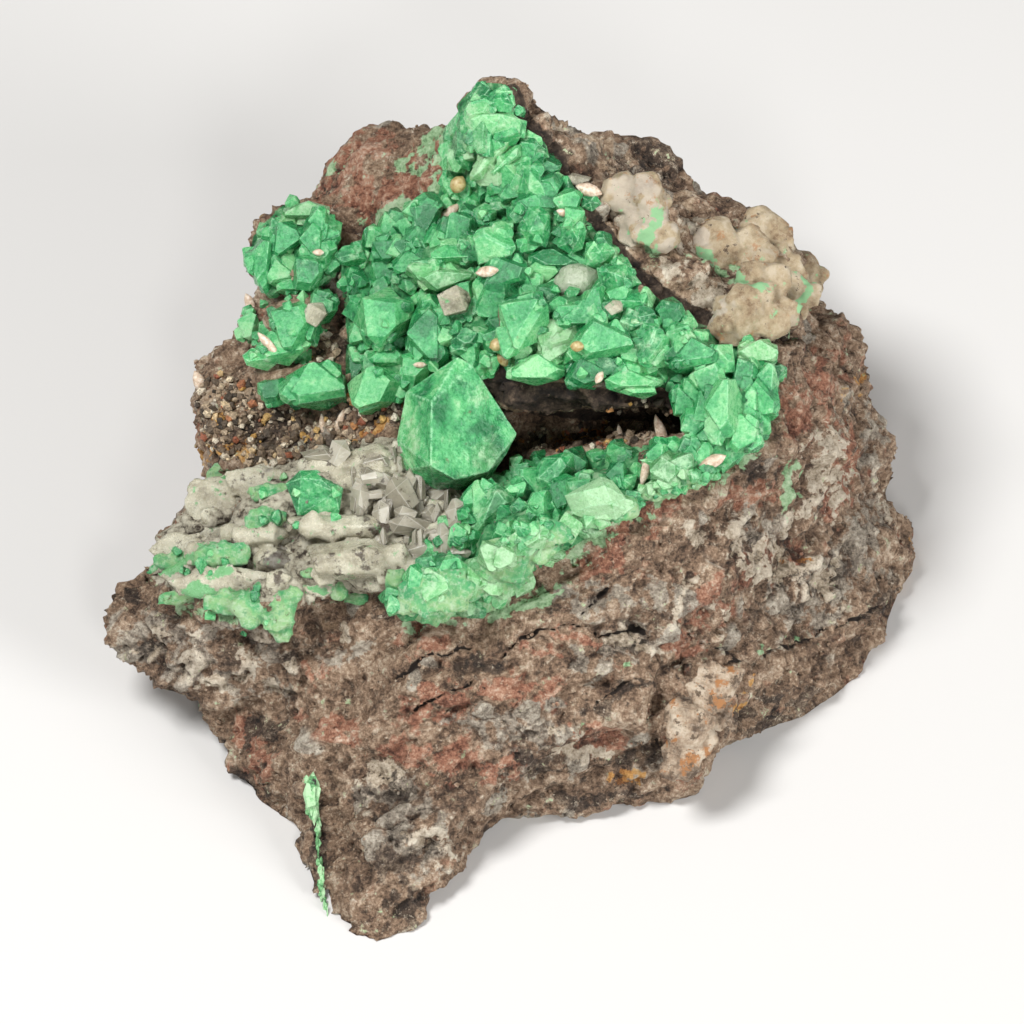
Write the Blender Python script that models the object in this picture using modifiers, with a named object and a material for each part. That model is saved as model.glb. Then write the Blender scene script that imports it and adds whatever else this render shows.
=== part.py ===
"""Zincolivenite on its matrix: a hand-sized piece of iron-stained rock with an open pocket lined by
green crystals, one large crystal in the pocket, pale crystals beside it and a tan crust on one shoulder.

The specimen rests on its flat underside. +Z is up, +X is to the right as seen from the front, and the
crystal pocket faces the front, which is -Y. The origin is the middle of the underside.
Places are read as the viewer sees them: across, down, and how near the viewer in mm. Places on the
hidden sides are plain x, y, z in mm.
"""

import math
import random

import bmesh
import bpy
from mathutils import Matrix, Vector, noise
from mathutils.bvhtree import BVHTree

MM = 0.001
PHOTO_MIDDLE = 512
PHOTO_PX_PER_MM = 22.0
VIEW_ELEVATION = math.radians(50)
BASE_SHIFT_X = 0.12
BASE_SHIFT_Y = 5.83

ROCK_VOXEL = 0.6 * MM
# The rock's unevenness in mm: how far it goes in and out, where seen and on hidden sides, and the
# width of its lumps.
ROCK_FINE_LUMPS = {"amount": 0.35, "hidden_amount": 0.35, "size": 3.2, "seed": 11}
ROCK_BROAD_LUMPS = {"amount": 0.2, "hidden_amount": 1.0, "size": 7, "seed": 5}
ROCK_TRIANGLES = 2500
GAP = 0.3
GROUND_GAP = 0.3
FLAT_WITHIN = 3.0
LUMP_CORNERS = 22
GROUND_REACH = 40
LOOK_STEPS = 40

# Colour and roughness of each part.
FINISHES = {
    "matrix": ((0.24, 0.16, 0.10), 0.85),
    "crystal_crust": ((0.12, 0.50, 0.19), 0.25),
    "left_crystal_cluster": ((0.20, 0.54, 0.24), 0.30),
    "flake_crystals": ((0.36, 0.52, 0.28), 0.40),
    "shelf_crystals": ((0.24, 0.46, 0.20), 0.30),
    "plate_crystals": ((0.26, 0.50, 0.24), 0.30),
    "tongue_crust": ((0.20, 0.45, 0.22), 0.45),
    "pale_crystal_cluster": ((0.44, 0.42, 0.29), 0.35),
    "tan_crust": ((0.56, 0.43, 0.28), 0.75),
    "white_patch": ((0.52, 0.40, 0.28), 0.75),
    "green_vein": ((0.18, 0.34, 0.16), 0.50),
    "large_crystal": ((0.10, 0.62, 0.19), 0.15),
    "round_pale_crystal": ((0.39, 0.49, 0.28), 0.30),
}


def seen(across, down, near):
    """Place of a point that the viewer sees, near mm in front of the middle of the view."""
    side = (across - PHOTO_MIDDLE) / PHOTO_PX_PER_MM
    rise = (PHOTO_MIDDLE - down) / PHOTO_PX_PER_MM
    sine, cosine = math.sin(VIEW_ELEVATION), math.cos(VIEW_ELEVATION)
    back = rise * sine - near * cosine
    up = rise * cosine + near * sine
    return Vector((side + BASE_SHIFT_X, back + BASE_SHIFT_Y, up)) * MM


def hidden(x, y, z):
    """Place of a point on the sides that the viewer doesn't see."""
    return Vector((x + BASE_SHIFT_X, y + BASE_SHIFT_Y, z)) * MM


# Blocks of the rock, each the hull of its corners: those the viewer sees, then those on the hidden sides.
ROCK_BLOCKS = {
    "body": (
        [(310, 640, 14.3), (450, 600, 16.8), (600, 545, 17.2), (720, 480, 16.4), (785, 440, 14.4),
         (400, 740, 16.6), (520, 720, 16.8), (640, 690, 15.8), (690, 760, 12.6), (640, 788, 12.6),
         (330, 850, 13.6), (490, 800, 14.0), (692, 802, 11.2), (800, 722, 8.2), (864, 678, 6.6),
         (884, 640, 5.0), (916, 590, 3.0), (920, 558, 2.7), (888, 412, 3.4), (876, 366, 3.9),
         (808, 304, 5.0), (756, 248, 7.4), (640, 170, 8.0), (520, 98, 9.8), (496, 98, 9.8),
         (440, 162, 7.0), (330, 230, 6.0), (300, 300, 6.0), (230, 470, 6.0), (225, 700, 9.0)],
        [(7.6, -16.2, -0.3), (13.0, -12.2, -0.3), (16.0, -9.7, -0.3), (17.0, -7.4, -0.3),
         (18.1, -3.4, -0.3), (17.6, 0, -0.3), (15, 6, -0.3), (10, 11.5, -0.3), (0, 13.5, -0.3),
         (-8, 12.5, -0.3), (-12, 8, -0.3), (-13.5, 0, -0.3), (-13.2, -11.5, -0.3), (-11, -17.3, -0.3),
         (-5, 13.4, 8), (7.4, 12.2, 7.6), (12.4, 8.0, 8.6)],
    ),
    "tongue": (
        [(97, 601, 11.0), (110, 581, 10.5), (152, 568, 11.5), (300, 590, 15.0), (300, 625, 15.5),
         (100, 630, 10.8), (124, 666, 10.5), (156, 697, 10.5), (216, 710, 11.0), (320, 695, 13.5),
         (154, 550, 8.0), (200, 506, 7.0), (330, 470, 9.0)],
        [(-17.2, -7.0, 3.6), (-13, -4.0, 4.0), (-8, -2.0, 5.0), (-12, -10.0, 2.0)],
    ),
    "shelf": (
        [(198, 438, 8.2), (214, 464, 9.0), (300, 468, 11.0), (395, 450, 11.5), (222, 368, 7.2),
         (236, 340, 6.5), (330, 355, 9.0), (395, 400, 11.0), (188, 380, 6.5), (194, 410, 7.0)],
        [(-14.2, 2.5, 3.0), (-13.0, 6.5, 4.0), (-8.0, 6.0, 4.0), (-13.6, -3.5, 4.5), (-7, -3, 4)],
    ),
    "left_knob": (
        [(254, 250, 6.5), (266, 230, 7.0), (290, 204, 6.5), (322, 203, 7.5), (338, 240, 8.5),
         (335, 296, 9.0), (262, 284, 7.0), (250, 262, 5.5)],
        [(-10.8, 8.6, 8.5), (-8.0, 9.8, 10.0), (-6.5, 7.0, 7.0), (-10.8, 7.0, 6.0)],
    ),
    "left_step": (
        [(262, 286, 6.5), (335, 290, 9.0), (335, 350, 8.6), (236, 352, 6.6), (240, 318, 6.0)],
        [(-11.4, 7.0, 6.0), (-8.0, 7.4, 6.0), (-11.6, 5.0, 4.0)],
    ),
    "red_knob": (
        [(306, 195, 3.0), (312, 164, 2.5), (343, 132, 2.0), (370, 121, 1.5), (396, 142, 2.0),
         (440, 148, 6.0), (470, 116, 9.0), (490, 130, 10.0), (450, 200, 9.0), (380, 230, 8.0),
         (330, 220, 6.0), (380, 165, 5.5)],
        [(-8.0, 12.5, 7.0), (-4.0, 14.0, 8.0), (-7.5, 9.0, 5.0), (0, 13.6, 9.6)],
    ),
    "rear_lump": (
        [(566, 142, 7.0), (602, 134, 4.0), (642, 136, 3.0), (670, 148, 2.4), (692, 168, 2.0),
         (708, 198, 2.0), (702, 216, 2.5), (650, 215, 7.5), (600, 180, 8.0)],
        [(3.5, 13.6, 8.0), (9.0, 12.0, 7.0), (10.0, 9.0, 6.0), (4.0, 12.5, 4.0)],
    ),
    "crust_seat": (
        [(738, 230, 5.6), (752, 218, 4.6), (766, 226, 4.6), (792, 262, 4.6), (806, 290, 4.8),
         (780, 335, 10.0), (720, 310, 11.5), (680, 280, 10.5), (690, 240, 8.0)],
        [(10.5, 8.4, 8.0), (13.5, 6.0, 7.0), (14, 3, 5)],
    ),
    "foot": (
        [(298, 790, 12.2), (299, 830, 12.8), (308, 866, 13.4), (316, 902, 14.8), (342, 933, 15.9),
         (370, 947, 16.6), (398, 937, 16.3), (412, 906, 15.8), (430, 876, 15.4), (460, 853, 14.6),
         (496, 836, 13.6), (516, 804, 13.0), (460, 780, 16.6), (350, 780, 15.2), (380, 850, 17.0)],
        [(-9.2, -19.0, -0.3), (-7.2, -25.2, -0.3), (-5.4, -25.2, -0.3), (-1.4, -17.6, -0.3)],
    ),
    "cheek": (
        [(213, 708, 9.6), (215, 740, 10.2), (231, 784, 11.0), (260, 816, 11.8), (300, 836, 12.8),
         (300, 705, 13.2), (340, 780, 14.8)],
        [(-12.9, -11.0, -0.3), (-11.6, -16.0, -0.3), (-9.4, -18.0, -0.3)],
    ),
    "right_rim": (
        [(693, 452, 15.6), (760, 455, 16.2), (800, 420, 14.6), (806, 360, 12.6), (770, 330, 12.6),
         (725, 335, 13.8), (860, 470, 9.8), (840, 350, 9.0)],
        [],
    ),
    "right_bump": (
        [(880, 520, 6.0), (908, 528, 3.4), (922, 556, 2.8), (918, 586, 3.0), (902, 606, 4.0),
         (872, 600, 7.0)],
        [(17.6, -3.6, 0.6), (16.6, -1.0, 1.5)],
    ),
}

# Hollows of the rock, each the hull of its corners as the viewer sees them. FAR_FRONT is clear of the rock.
FAR_FRONT = 26
HOLLOWS = {
    "upper_pocket": [
        (352, 300, FAR_FRONT), (352, 372, FAR_FRONT), (440, 340, FAR_FRONT), (560, 352, FAR_FRONT),
        (700, 350, FAR_FRONT), (740, 338, FAR_FRONT), (612, 225, FAR_FRONT), (556, 150, FAR_FRONT),
        (520, 112, FAR_FRONT), (470, 130, FAR_FRONT), (420, 200, FAR_FRONT), (370, 250, FAR_FRONT),
        (372, 300, 8.4), (367, 350, 8.6), (412, 250, 8.6), (470, 200, 8.8), (510, 150, 9.2),
        (556, 215, 10.2), (598, 258, 11.0), (660, 310, 12.0), (700, 345, 12.8), (560, 345, 12.4),
        (440, 335, 10.0),
    ],
    "lower_cave": [
        (470, 384, 13.0), (520, 398, 13.4), (560, 406, 13.6), (650, 404, 14.0), (700, 426, 14.6),
        (460, 450, 22), (560, 466, 22), (700, 466, 22), (704, 476, 22), (614, 528, 22),
        (520, 572, 22), (440, 580, 22), (395, 490, 22), (392, 440, 16),
        (430, 385, 9.0), (500, 374, 8.0), (640, 378, 8.8), (688, 412, 10.8), (684, 450, 11.6),
        (620, 474, 10.4), (520, 494, 9.4), (440, 508, 9.8), (405, 440, 9.4),
    ],
    "dark_hole": [
        (322, 326, FAR_FRONT), (345, 300, FAR_FRONT), (352, 362, FAR_FRONT), (322, 358, FAR_FRONT),
        (328, 330, 6.0), (344, 312, 6.0), (346, 350, 6.5), (328, 348, 6.5),
    ],
    "ridge_hole": [
        (462, 652, FAR_FRONT), (502, 656, FAR_FRONT), (498, 676, FAR_FRONT), (464, 670, FAR_FRONT),
        (470, 658, 15.0), (492, 660, 15.0), (490, 668, 15.2), (472, 666, 15.2),
    ],
    "lower_right_notch": [
        (690, 802, 30), (697, 777, 30), (717, 746, 30), (742, 737, 30), (800, 722, 30), (980, 700, 30),
        (980, 960, 30), (690, 960, 30),
        (690, 802, -20), (697, 777, -20), (717, 746, -20), (742, 737, -20), (800, 722, -20),
        (980, 700, -20), (980, 960, -20), (690, 960, -20),
    ],
}

# The dark pocket between the pale crystals, which goes on into the rock.
GREY_POCKET = [
    (362, 482, FAR_FRONT), (380, 478, FAR_FRONT), (402, 500, FAR_FRONT), (404, 524, FAR_FRONT),
    (378, 520, FAR_FRONT), (372, 492, 9.0), (392, 500, 9.0), (394, 514, 9.6), (380, 512, 9.6),
]

# Seats that the rock gives what grew on it: convex outlines across and down the view. Each is cut sink mm
# below the rock, and filled mound mm above it by the bed that joins the crystals there.
POCKET_SEATS = [
    ([(454, 104), (478, 80), (512, 80), (526, 104), (560, 150), (604, 214), (560, 240), (450, 236),
      (436, 196), (444, 146)],
     [(490, 150), (500, 200), (540, 190)]),
    ([(336, 250), (372, 228), (414, 196), (470, 186), (540, 190), (614, 224), (704, 298), (770, 338),
      (782, 366), (780, 398), (700, 402), (640, 396), (560, 394), (500, 386), (420, 402), (352, 412)],
     [(420, 320), (480, 230), (480, 280), (560, 240), (560, 330), (640, 340), (700, 370)]),
    ([(690, 345), (765, 342), (781, 372), (778, 400), (758, 452), (712, 470), (684, 452), (682, 400)],
     [(735, 400), (720, 440)]),
    ([(756, 440), (700, 484), (640, 506), (596, 536), (560, 572), (476, 616), (400, 624), (384, 596),
      (384, 568), (440, 505), (476, 482), (530, 456), (640, 444), (700, 436)],
     [(500, 530), (560, 500), (440, 590), (620, 490), (680, 465)]),
]
SHOULDER_SEATS = [
    ([(244, 262), (250, 234), (284, 198), (330, 212), (342, 240), (336, 268), (322, 294), (272, 296)],
     [(290, 240), (300, 270)]),
]
FLAKE_SEATS = [([(236, 314), (262, 300), (330, 288), (340, 306), (322, 356), (300, 368), (248, 364)],
                [(290, 330)])]
SHELF_SEATS = [([(256, 376), (286, 360), (346, 364), (352, 404), (310, 412), (262, 406)], [(310, 386)])]
PLATE_SEATS = [([(256, 480), (300, 468), (348, 478), (348, 518), (284, 544), (240, 542), (240, 504)],
                [(290, 505)])]
TONGUE_SEATS = [([(152, 550), (240, 536), (260, 570), (305, 590), (304, 632), (270, 645), (196, 620),
                  (156, 590)], [(230, 590)])]
PALE_SEATS = [
    ([(194, 502), (240, 476), (300, 442), (404, 438), (432, 446), (464, 500), (464, 572), (400, 590),
      (290, 598), (186, 598), (146, 570), (150, 542)],
     [(220, 530), (300, 490), (300, 560), (380, 480), (390, 560), (440, 530)]),
]
TAN_SEATS = [
    ([(604, 184), (650, 186), (700, 218), (742, 210), (772, 218), (800, 256), (816, 288), (782, 341),
      (716, 338), (664, 296), (626, 256), (604, 222)],
     [(640, 210), (700, 250), (750, 250), (750, 310)]),
]
PATCH_SEATS = [([(650, 700), (692, 664), (736, 664), (748, 686), (722, 744), (690, 780), (666, 778)],
                [(700, 700), (680, 740)])]
VEIN_SEATS = [([(298, 776), (326, 776), (330, 830), (328, 904), (316, 904), (302, 840)], [(314, 840)])]

# Crystals and lumps as the viewer sees them: left, top, right and bottom of each one's outline, then the
# turn of its ridge from level and the lean of its top towards the viewer, in degrees.
POCKET_CRYSTALS = [
    (462, 84, 525, 130, 20, 30), (463, 112, 520, 146, 5, 10), (469, 130, 516, 184, 60, 25),
    (487, 139, 522, 176, 70, 50), (520, 132, 554, 170, 100, 15), (448, 142, 482, 172, 20, 40),
    (482, 176, 514, 208, 40, 10), (507, 158, 556, 214, 95, 30), (465, 200, 498, 228, 15, 45),
    (520, 204, 553, 251, 80, 20), (438, 210, 478, 246, 30, 35), (469, 224, 516, 266, 150, 15),
    (409, 200, 442, 236, 60, 20), (404, 224, 432, 252, 100, 40), (391, 250, 433, 279, 10, 25),
    (430, 242, 484, 268, 5, 15), (411, 262, 473, 292, 170, 30), (473, 254, 533, 293, 25, 40),
    (476, 278, 522, 324, 120, 20), (353, 286, 413, 348, 45, 30), (407, 304, 446, 358, 90, 35),
    (367, 342, 404, 372, 0, 20), (343, 268, 369, 297, 30, 45), (335, 244, 367, 268, 20, 10),
    (347, 366, 400, 412, 15, 30), (398, 356, 430, 392, 40, 15), (370, 232, 408, 262, 60, 30),
    (440, 290, 482, 330, 35, 25), (552, 214, 590, 257, 70, 25), (581, 240, 618, 271, 10, 40),
    (528, 249, 578, 273, 0, 20), (538, 272, 568, 304, 90, 45), (594, 262, 645, 306, 150, 20),
    (630, 286, 658, 322, 80, 35), (614, 308, 654, 338, 20, 15), (654, 305, 692, 333, 0, 30),
    (498, 293, 551, 351, 60, 20), (536, 332, 569, 364, 30, 40), (572, 318, 634, 369, 15, 25),
    (630, 331, 672, 369, 60, 10), (511, 354, 565, 386, 0, 30), (603, 368, 660, 396, 5, 20),
    (482, 320, 512, 354, 75, 30), (560, 300, 606, 330, 0, 30), (563, 358, 607, 390, 20, 30),
    (450, 326, 486, 354, 10, 15), (560, 184, 582, 212, 30, 20), (574, 200, 606, 222, 0, 40),
    (665, 337, 720, 378, 10, 25), (692, 358, 724, 400, 70, 30), (728, 358, 760, 392, 30, 20),
    (737, 340, 777, 366, 0, 35), (754, 362, 779, 398, 80, 25), (702, 380, 746, 438, 90, 20),
    (738, 386, 760, 416, 90, 40), (668, 384, 704, 420, 135, 25), (691, 420, 722, 450, 45, 20),
    (724, 414, 760, 454, 20, 30), (637, 444, 703, 480, 155, 25), (672, 436, 704, 458, 20, 30),
    (606, 468, 640, 498, 0, 30), (527, 451, 577, 497, 90, 30), (509, 459, 532, 487, 60, 20),
    (472, 481, 526, 537, 60, 25), (562, 472, 640, 522, 10, 20), (583, 506, 612, 533, 0, 40),
    (480, 510, 574, 568, 15, 15), (478, 540, 534, 590, 30, 20), (440, 500, 476, 560, 90, 10),
    (396, 566, 474, 622, 5, 10), (458, 566, 490, 602, 60, 20), (381, 566, 408, 592, 20, 30),
    (640, 476, 672, 500, 10, 20),
]
SHOULDER_CRYSTALS = [
    (284, 199, 329, 224, 0, 20), (297, 214, 330, 260, 90, 25), (289, 252, 323, 291, 45, 30),
    (248, 238, 277, 287, 80, 15), (268, 220, 302, 256, 30, 30), (264, 258, 294, 290, 10, 20),
    (306, 236, 338, 268, 60, 20), (276, 276, 308, 296, 0, 15),
]
FLAKE_CRYSTALS = [
    (270, 298, 320, 354, 60, 20), (302, 290, 338, 325, 30, 30), (236, 310, 262, 342, 70, 10),
    (248, 330, 304, 366, 20, 10),
]
SHELF_CRYSTALS = [(285, 362, 347, 411, 10, 30), (258, 375, 290, 407, 60, 15), (326, 372, 350, 404, 80, 20)]
PLATE_CRYSTALS = [(288, 470, 347, 517, 165, 30), (256, 478, 302, 509, 10, 20), (241, 503, 286, 542, 45, 10)]
TONGUE_CRYSTALS = [
    (152, 546, 200, 574, 10, 15), (190, 538, 258, 572, 5, 10), (200, 590, 262, 622, 10, 15),
    (244, 584, 304, 630, 30, 20), (264, 612, 292, 643, 90, 30), (162, 590, 212, 612, 5, 10),
]
# Long pale crystals: the same outlines, with the turn of the long axis from level.
PALE_CRYSTALS = [
    (292, 534, 396, 586, 5, 10), (272, 516, 384, 546, 5, 20), (386, 478, 424, 520, 130, 30),
    (388, 514, 434, 545, 160, 20), (420, 476, 464, 522, 40, 30), (432, 522, 462, 570, 95, 20),
    (250, 540, 306, 574, 165, 10), (300, 440, 404, 492, 170, 15), (222, 466, 304, 496, 10, 10),
    (184, 490, 256, 540, 10, 10), (186, 562, 282, 596, 5, 10), (140, 530, 200, 564, 40, 15),
    (346, 478, 382, 526, 80, 20), (398, 440, 430, 482, 60, 20),
]
# Rounded lumps: the same outlines, with the turn of the longer side.
TAN_LUMPS = [
    (739, 203, 780, 254, 90, 0), (690, 215, 738, 262, 0, 0), (758, 240, 802, 294, 60, 0),
    (796, 248, 826, 294, 100, 0), (716, 278, 784, 340, 20, 0), (664, 248, 724, 296, 0, 0),
    (604, 178, 666, 224, 10, 0), (628, 202, 690, 256, 30, 0), (740, 300, 800, 336, 40, 0),
]
PATCH_LUMPS = [
    (684, 664, 748, 712, 140, 0), (654, 684, 712, 750, 130, 0), (690, 690, 734, 752, 120, 0),
    (664, 728, 704, 782, 110, 0),
]
VEIN_PLATES = [
    (300, 778, 322, 830, 80, 10), (304, 812, 322, 866, 88, 10), (308, 852, 326, 906, 80, 10),
]
ROUND_CRYSTAL = (552, 262, 604, 312, 10, 0)
# Corners of the large crystal: across, down and near.
LARGE_CRYSTAL = [
    (456, 357, 14.2), (473, 365, 13.6), (438, 400, 16.9), (431, 444, 17.2), (434, 470, 16.2),
    (406, 392, 14.2), (397, 440, 14.0), (402, 471, 13.6), (435, 488, 13.6), (457, 492, 13.4),
    (488, 481, 13.2), (506, 455, 13.2), (517, 434, 13.0), (492, 397, 13.6), (472, 444, 16.2),
    (430, 385, 10.8), (480, 395, 10.6), (492, 450, 10.6), (450, 478, 10.8), (412, 450, 10.8),
]


def clear_scene():
    for obj in list(bpy.data.objects):
        bpy.data.objects.remove(obj, do_unlink=True)


def add_hull(bm, corners):
    """Adds the convex hull of the corners to bm: a block with flat broken faces."""
    verts = [bm.verts.new(corner) for corner in corners]
    hull = bmesh.ops.convex_hull(bm, input=verts)
    inside = set(hull["geom_interior"] + hull["geom_unused"])
    bmesh.ops.delete(bm, geom=[v for v in inside if isinstance(v, bmesh.types.BMVert)], context="VERTS")


def mesh_from(bm, name):
    bmesh.ops.recalc_face_normals(bm, faces=bm.faces)
    mesh = bpy.data.meshes.new(name)
    bm.to_mesh(mesh)
    bm.free()
    return mesh


def add_object(name, mesh, collection):
    obj = bpy.data.objects.new(name, mesh)
    collection.objects.link(obj)
    return obj


def add_helper(name, mesh, helpers):
    """A cutter or another shape that isn't part of the specimen."""
    obj = add_object(name, mesh, helpers)
    obj.hide_render = True
    obj.display_type = "WIRE"
    return obj


def settle(obj):
    """Replaces the object's mesh by the result of its modifiers."""
    graph = bpy.context.evaluated_depsgraph_get()
    result = bpy.data.meshes.new_from_object(obj.evaluated_get(graph))
    obj.modifiers.clear()
    obj.data = result


def remesh(obj, voxel):
    modifier = obj.modifiers.new("remesh", "REMESH")
    modifier.mode = "VOXEL"
    modifier.voxel_size = voxel
    settle(obj)


def boolean(obj, other, operation):
    modifier = obj.modifiers.new(operation.lower(), "BOOLEAN")
    modifier.operation = operation
    modifier.solver = "EXACT"
    modifier.object = other
    settle(obj)


def decimate(obj, triangles):
    obj.data.calc_loop_triangles()
    modifier = obj.modifiers.new("decimate", "DECIMATE")
    modifier.ratio = min(1.0, triangles / len(obj.data.loop_triangles))
    modifier.use_collapse_triangulate = True
    settle(obj)


def roughen(obj, amount, hidden_amount, size, seed):
    """Moves the surface in and out by fractal noise, as broken rock is uneven, more so on hidden sides.
    The underside stays as it is."""
    bm = bmesh.new()
    bm.from_mesh(obj.data)
    bm.normal_update()
    offset = Vector((seed, seed * 0.37, -seed))
    towards = facing()[2]
    for vert in bm.verts:
        lump = noise.fractal(vert.co / (size * MM) + offset, 0.9, 2.0, 3)
        turned_away = min(1.0, max(0.0, -vert.normal.dot(towards) * 2))
        upright = min(1.0, max(0.0, 1.6 + vert.normal.z * 2))
        reach = (amount + (hidden_amount - amount) * turned_away) * upright
        vert.co += vert.normal * lump * reach * MM
    bm.to_mesh(obj.data)
    bm.free()


def box_mesh(name, low, high):
    bm = bmesh.new()
    size = high - low
    place = Matrix.Translation((low + high) / 2) @ Matrix.Diagonal((*size, 1))
    bmesh.ops.create_cube(bm, size=1, matrix=place)
    return mesh_from(bm, name)


def flat_base(obj, height, helpers):
    """Cuts the underside flat, height mm above the origin."""
    low = Vector((-GROUND_REACH, -GROUND_REACH, -GROUND_REACH)) * MM
    high = Vector((GROUND_REACH, GROUND_REACH, height)) * MM
    name = obj.name + "_ground"
    boolean(obj, add_helper(name, box_mesh(name, low, high), helpers), "DIFFERENCE")


def make_matrix(collection, helpers):
    bm = bmesh.new()
    for shown, behind in ROCK_BLOCKS.values():
        add_hull(bm, [seen(*place) for place in shown] + [hidden(*place) for place in behind])
    rock = add_object("matrix", mesh_from(bm, "matrix"), collection)
    remesh(rock, ROCK_VOXEL)
    for name, corners in HOLLOWS.items():
        cutter_bm = bmesh.new()
        add_hull(cutter_bm, [seen(*place) for place in corners])
        cutter = add_helper(name + "_cutter", mesh_from(cutter_bm, name), helpers)
        boolean(rock, cutter, "DIFFERENCE")
    remesh(rock, ROCK_VOXEL)
    roughen(rock, **ROCK_FINE_LUMPS)
    roughen(rock, **ROCK_BROAD_LUMPS)
    decimate(rock, ROCK_TRIANGLES)
    return rock


def facing():
    """The viewer's axes in the specimen's frame: to the side, up the view and towards the viewer."""
    sine, cosine = math.sin(VIEW_ELEVATION), math.cos(VIEW_ELEVATION)
    return Vector((1, 0, 0)), Vector((0, sine, cosine)), Vector((0, -cosine, sine))


def surface_of(objects):
    """The surfaces that a look from the viewer's side can meet."""
    graph = bpy.context.evaluated_depsgraph_get()
    return [BVHTree.FromObject(obj, graph) for obj in objects]


def nearness(trees, across, down, towards=(PHOTO_MIDDLE, PHOTO_MIDDLE)):
    """How near the viewer the first surface at this place is, in mm. Beside the specimen it is that of the
    first place met on the way to towards."""
    axis = facing()[2]
    for step in range(LOOK_STEPS + 1):
        x = across + (towards[0] - across) * step / LOOK_STEPS
        y = down + (towards[1] - down) * step / LOOK_STEPS
        hits = [tree.ray_cast(seen(x, y, FAR_FRONT + 20), -axis)[0] for tree in trees]
        found = [(hit - seen(x, y, 0)).dot(axis) / MM for hit in hits if hit]
        if found:
            return max(found)
    return 0.0


def middle_of(places):
    return [sum(place[i] for place in places) / len(places) for i in (0, 1)]


def drawn_in(places, inset):
    """The same places, moved inset px towards their middle."""
    cx, cy = middle_of(places)
    moved = []
    for x, y in places:
        length = math.hypot(x - cx, y - cy)
        keep = max(0.0, 1 - inset / length)
        moved.append((cx + (x - cx) * keep, cy + (y - cy) * keep))
    return moved


def seat_bm(seat, trees, sink, inset, front):
    """The room over a seat as far as front mm. Its floor is sink mm below the surface around it."""
    outline = seat[0]
    middle = middle_of(outline)
    bm = bmesh.new()
    corners = []
    for (x, y), (inner_x, inner_y) in zip(outline, drawn_in(outline, inset)):
        near = nearness(trees, x, y, middle) - sink
        corners += [seen(inner_x, inner_y, near), seen(inner_x, inner_y, front)]
    add_hull(bm, corners)
    return bm


def bed_bm(seat, trees, sink, mound):
    """The mass that fills a seat and joins the crystals on it. Its top is mound mm above the surface."""
    outline, inner = seat
    middle = middle_of(outline)
    corners = []
    for x, y in outline:
        near = nearness(trees, x, y, middle)
        corners += [seen(x, y, near - sink), seen(x, y, near)]
    corners += [seen(x, y, nearness(trees, x, y) + mound) for x, y in inner]
    bm = bmesh.new()
    add_hull(bm, corners)
    return bm


def crystal_corners(rng, wedge=35.5, spread=0.14):
    """Corners of one crystal of unit size: a four-sided prism closed by a wedge at each end."""
    planes = []
    for angle in (45, 135, 225, 315):
        turn = math.radians(angle)
        planes.append(Vector((math.cos(turn), math.sin(turn), 0)))
    for side in (-1, 1):
        for end in (-1, 1):
            slope = math.radians(wedge)
            planes.append(Vector((0, side * math.sin(slope), end * math.cos(slope))))
    bm = bmesh.new()
    bmesh.ops.create_cube(bm, size=6)
    for normal in planes:
        reach = 1 + rng.uniform(-spread, spread)
        everything = bm.verts[:] + bm.edges[:] + bm.faces[:]
        bmesh.ops.bisect_plane(bm, geom=everything, dist=1e-6, plane_co=normal * reach, plane_no=normal,
                               clear_outer=True)
        bmesh.ops.holes_fill(bm, edges=bm.edges)
    corners = [vert.co.copy() for vert in bm.verts]
    bm.free()
    return corners


def pale_corners(rng):
    """Corners of a long six-sided crystal of unit size along x, with blunt ends."""
    corners = []
    for end, radius in ((-1, 0.35), (-0.72, 0.9), (0.68, 1.0), (1, 0.3)):
        for step in range(6):
            turn = math.radians(step * 60 + rng.uniform(-9, 9))
            corners.append(Vector((end, radius * math.cos(turn), radius * math.sin(turn))))
    return corners


def lump_corners(rng):
    """Corners of a knobbly rounded lump of unit size."""
    corners = []
    for number in range(LUMP_CORNERS):
        height = 1 - 2 * (number + 0.5) / LUMP_CORNERS
        turn = number * math.pi * (3 - math.sqrt(5))
        flat = math.sqrt(1 - height * height)
        corner = Vector((flat * math.cos(turn), flat * math.sin(turn), height))
        corners.append(corner * rng.uniform(0.86, 1.06))
    return corners


def plate_corners(rng):
    """Corners of a thin plate of unit size, long along x."""
    corners = []
    for x, y in ((-1, -0.3), (-0.7, 0.8), (0.6, 1), (1, 0.2), (0.7, -0.9), (-0.5, -1)):
        for z in (-0.4, 0.4):
            corners.append(Vector((x + rng.uniform(-0.1, 0.1), y, z)))
    return corners


def fitted(corners, outline, near, depth=1.0):
    """Turns a unit shape as its outline says, then sizes and places it to fill that outline."""
    left, top, right, bottom, turn, lean = outline
    axes = facing()
    spin = Matrix.Rotation(math.radians(turn), 3, "Z") @ Matrix.Rotation(math.radians(lean), 3, "X")
    placed = [spin @ corner for corner in corners]
    low = Vector([min(p[i] for p in placed) for i in range(3)])
    high = Vector([max(p[i] for p in placed) for i in range(3)])
    across = (right - left) / PHOTO_PX_PER_MM * MM
    tall = (bottom - top) / PHOTO_PX_PER_MM * MM
    size = Vector((across, tall, math.sqrt(across * tall) * depth))
    middle = seen((left + right) / 2, (top + bottom) / 2, near)
    result = []
    for p in placed:
        part = [(p[i] - (low[i] + high[i]) / 2) / (high[i] - low[i]) * size[i] for i in range(3)]
        result.append(middle + axes[0] * part[0] + axes[1] * part[1] + axes[2] * part[2])
    return result


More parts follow.
